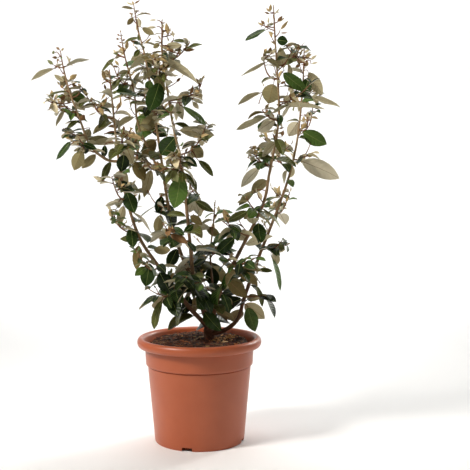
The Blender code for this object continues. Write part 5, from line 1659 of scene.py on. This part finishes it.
def placeShown(limbs, shoots):
    places, owners = woodPlaces(limbs, shoots)
    placeTwigs(places, owners)
    placeYoung(places, owners)
    pixels, targets = pixelOf(places), []
    for number, (x1, y1, x2, y2, (side, shade), seen) in enumerate(shownLeaves):
        dice = random.Random(shownPlan["leafSeed"] + number)
        wood, limb, root = nearestWood(x1, y1, places, owners, pixels)
        tints = list(dealTints(dice, root.z))
        # the paint of the side that shows, chosen by how light or dark the leaf looks: its own colour with
        # painted light and shade
        tints[0 if side == "g" else 2] = shownPaints[side][shade]
        shape = throwShape(dice, root.z)
        wide = max(seen, dice.uniform(*shownPlan["wide"]))
        shape["half"] = wide / 2
        shape["arch"] *= shownPlan["arch"]
        shape["fold"] *= shownPlan["fold"]
        turn = math.acos(seen / wide)
        flat = (pixelAtDepth(x2, y2, wood.y) - root).length
        for lean in shownPlan["leans"]:
            direction, length, facing = towardEye(root, pixelAtDepth(x2, y2, wood.y + lean * flat))
            facing = facing if side == "g" else -facing
            risen = direction.cross(facing)
            risen = risen if risen.z > 0 else -risen
            matrix = frameAt(root, direction, facing * math.cos(turn) + risen * math.sin(turn))
            placed = hasRoom(matrix, length, shape["half"], shown=True)
            if placed:
                break
        else:
            print("no room for the leaf at", x1, y1)
            continue
        keepLeaf(limb, matrix, length, shape, tuple(tints), "blade", placed)
        targets += [matrix @ Vector((share * length, across * shape["half"] * length, 0))
                    for share, across in shownPlan["sights"]]
        away = (root - wood).length
        if away > shownPlan["onWood"] * mm:
            bend = wood.lerp(root, 0.5) + Vector((0, 0, shownPlan["stalkLift"] * away))
            addTwig(limb, arc(wood, bend, root, 4), 2)
    sights["points"], sights["pixels"] = asArray(targets), pixelOf(targets)


def twigMaterials():
    # green wood under rusty scales: red-brown on the finest twigs, tan on older shoots
    made = []
    for name, colour in (("shootBark", "#8A6240"), ("twigBark", "#7E4A2E"), ("twigletBark", "#784026")):
        material = newMaterial(name, colour, 0.7)
        lay = addNode(material, "UVMap", {"uv_map": "SurfaceMap"})[0]
        stretch = addNode(material, "Mapping", {"Scale": (1, 0.3, 1), "Vector": lay})[0]
        scurf = addNode(material, "TexNoise", {"Scale": 1 / 0.6, "Detail": 4.0, "Vector": stretch})[0]
        rough = addNode(material, "MapRange", {"To Min": 0.55, "To Max": 0.85, "Value": scurf})[0]
        bump = addNode(material, "Bump", {"Strength": 0.5, "Distance": 0.2 * mm, "Height": scurf})[0]
        feedShader(material, Roughness=rough, Normal=bump)
        made.append(material)
    return made


def trimTwigs():
    # each twig ends at the last leaf or twig that it bears, and one that bears none goes
    leafRoots = asArray([leaf["matrix"].translation for leaf in room["leaves"]])
    for _ in range(3):
        roots = np.concatenate([leafRoots, asArray([twig["line"][0] for twig in room["twigs"]])])
        kept = []
        for twig in room["twigs"]:
            line = asArray(twig["line"])
            runs = line[1:] - line[:-1]
            lengths = np.linalg.norm(runs, axis=1)
            along = np.clip(((roots[:, None] - line[:-1]) * runs).sum(2) / lengths ** 2, 0, 1)
            gaps = np.linalg.norm(roots[:, None] - line[:-1] - along[..., None] * runs, axis=2)
            away = np.cumsum(lengths) - lengths + along * lengths
            last = np.where(gaps < (twig["radii"][0] + 0.4) * mm, away, 0).max()
            if last > 2 * mm:
                kept.append({**twig, "line": cutAt(twig["line"], min(0.999, last / lengths.sum()))})
        room["twigs"] = kept


def joinFoliage():
    leafPaint, twigPaint = leafMaterials(), twigMaterials()
    silverFrom = leafRule["silverFrom"]
    for name in limbs:
        masses = {"lower": [], "upper": []}
        for shoot in shoots:
            if shoot["limb"] == name:
                masses["upper" if shoot["line"][0].z > silverFrom else "lower"].append(shoot["name"])
        heaps = {"lower": Heap(), "upper": Heap(), "young": Heap(), "twigs": Heap()}
        for leaf in room["leaves"]:
            if leaf["limb"] != name:
                continue
            blade = leaf["kind"] == "blade"
            points, places = (bladePoints if blade else youngPoints)(leaf["length"], leaf["shape"], bladePlan)
            faces, parts, rims = bladeForm if blade else youngForm
            spun = np.array(leaf["matrix"])
            band = "lower" if spun[2, 3] <= silverFrom and masses["lower"] else "upper"
            heaps[band if blade else "young"].add(points @ spun[:3, :3].T + spun[:3, 3], faces,
                                                  [leaf["tints"][part] for part in parts], places, rims)
        for twig in room["twigs"]:
            if twig["limb"] == name:
                sizes = [between(*twig["radii"], share) * mm for share in sharesAlong(twig["line"])]
                heaps["twigs"].addTube(twig["line"], sizes, 6 if twig["slot"] == 0 else 5, twig["slot"])
        for heap, piece, paint, slot in (("lower", f"blades_{name}_lower", leafPaint, "leaf_green"),
                                         ("upper", f"blades_{name}_upper", leafPaint, "leaf_silver"),
                                         ("young", f"youngLeaves_{name}", leafPaint, "leaf_silver"),
                                         ("twigs", f"twigs_{name}", twigPaint, "silverberry_bark")):
            stoodFor = masses.get(heap, [])
            if heap in masses and not stoodFor:
                continue  # no mass of this limb is so low, or so high
            made = addObject(piece, heaps[heap].mesh(piece), paint)
            if stoodFor:
                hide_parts(*stoodFor)


placeShown(limbs, shoots)
print(f"{len(room['leaves'])} of {len(shownLeaves) + len(shownYoung)} shown leaves placed")
for owner, shoot in enumerate(shoots):
    dressShoot(owner, shoot)
for name, limb in limbs.items():
    dressLimb(name, limb)
for name, limb in limbs.items():
    if "from" not in limbPlan[name]:
        dressFoot(name, limb)
trimTwigs()
joinFoliage()
full = sum(leaf["kind"] == "blade" for leaf in room["leaves"])
print(f"foliage made: {full} leaves, {len(room['leaves']) - full} young leaves, {len(room['twigs'])} twigs")

triangles = sum(len(face.vertices) - 2 for made in bpy.data.objects if made.type == "MESH"
                and "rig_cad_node" not in made for face in made.data.polygons)
print(f"{triangles} triangles in all")
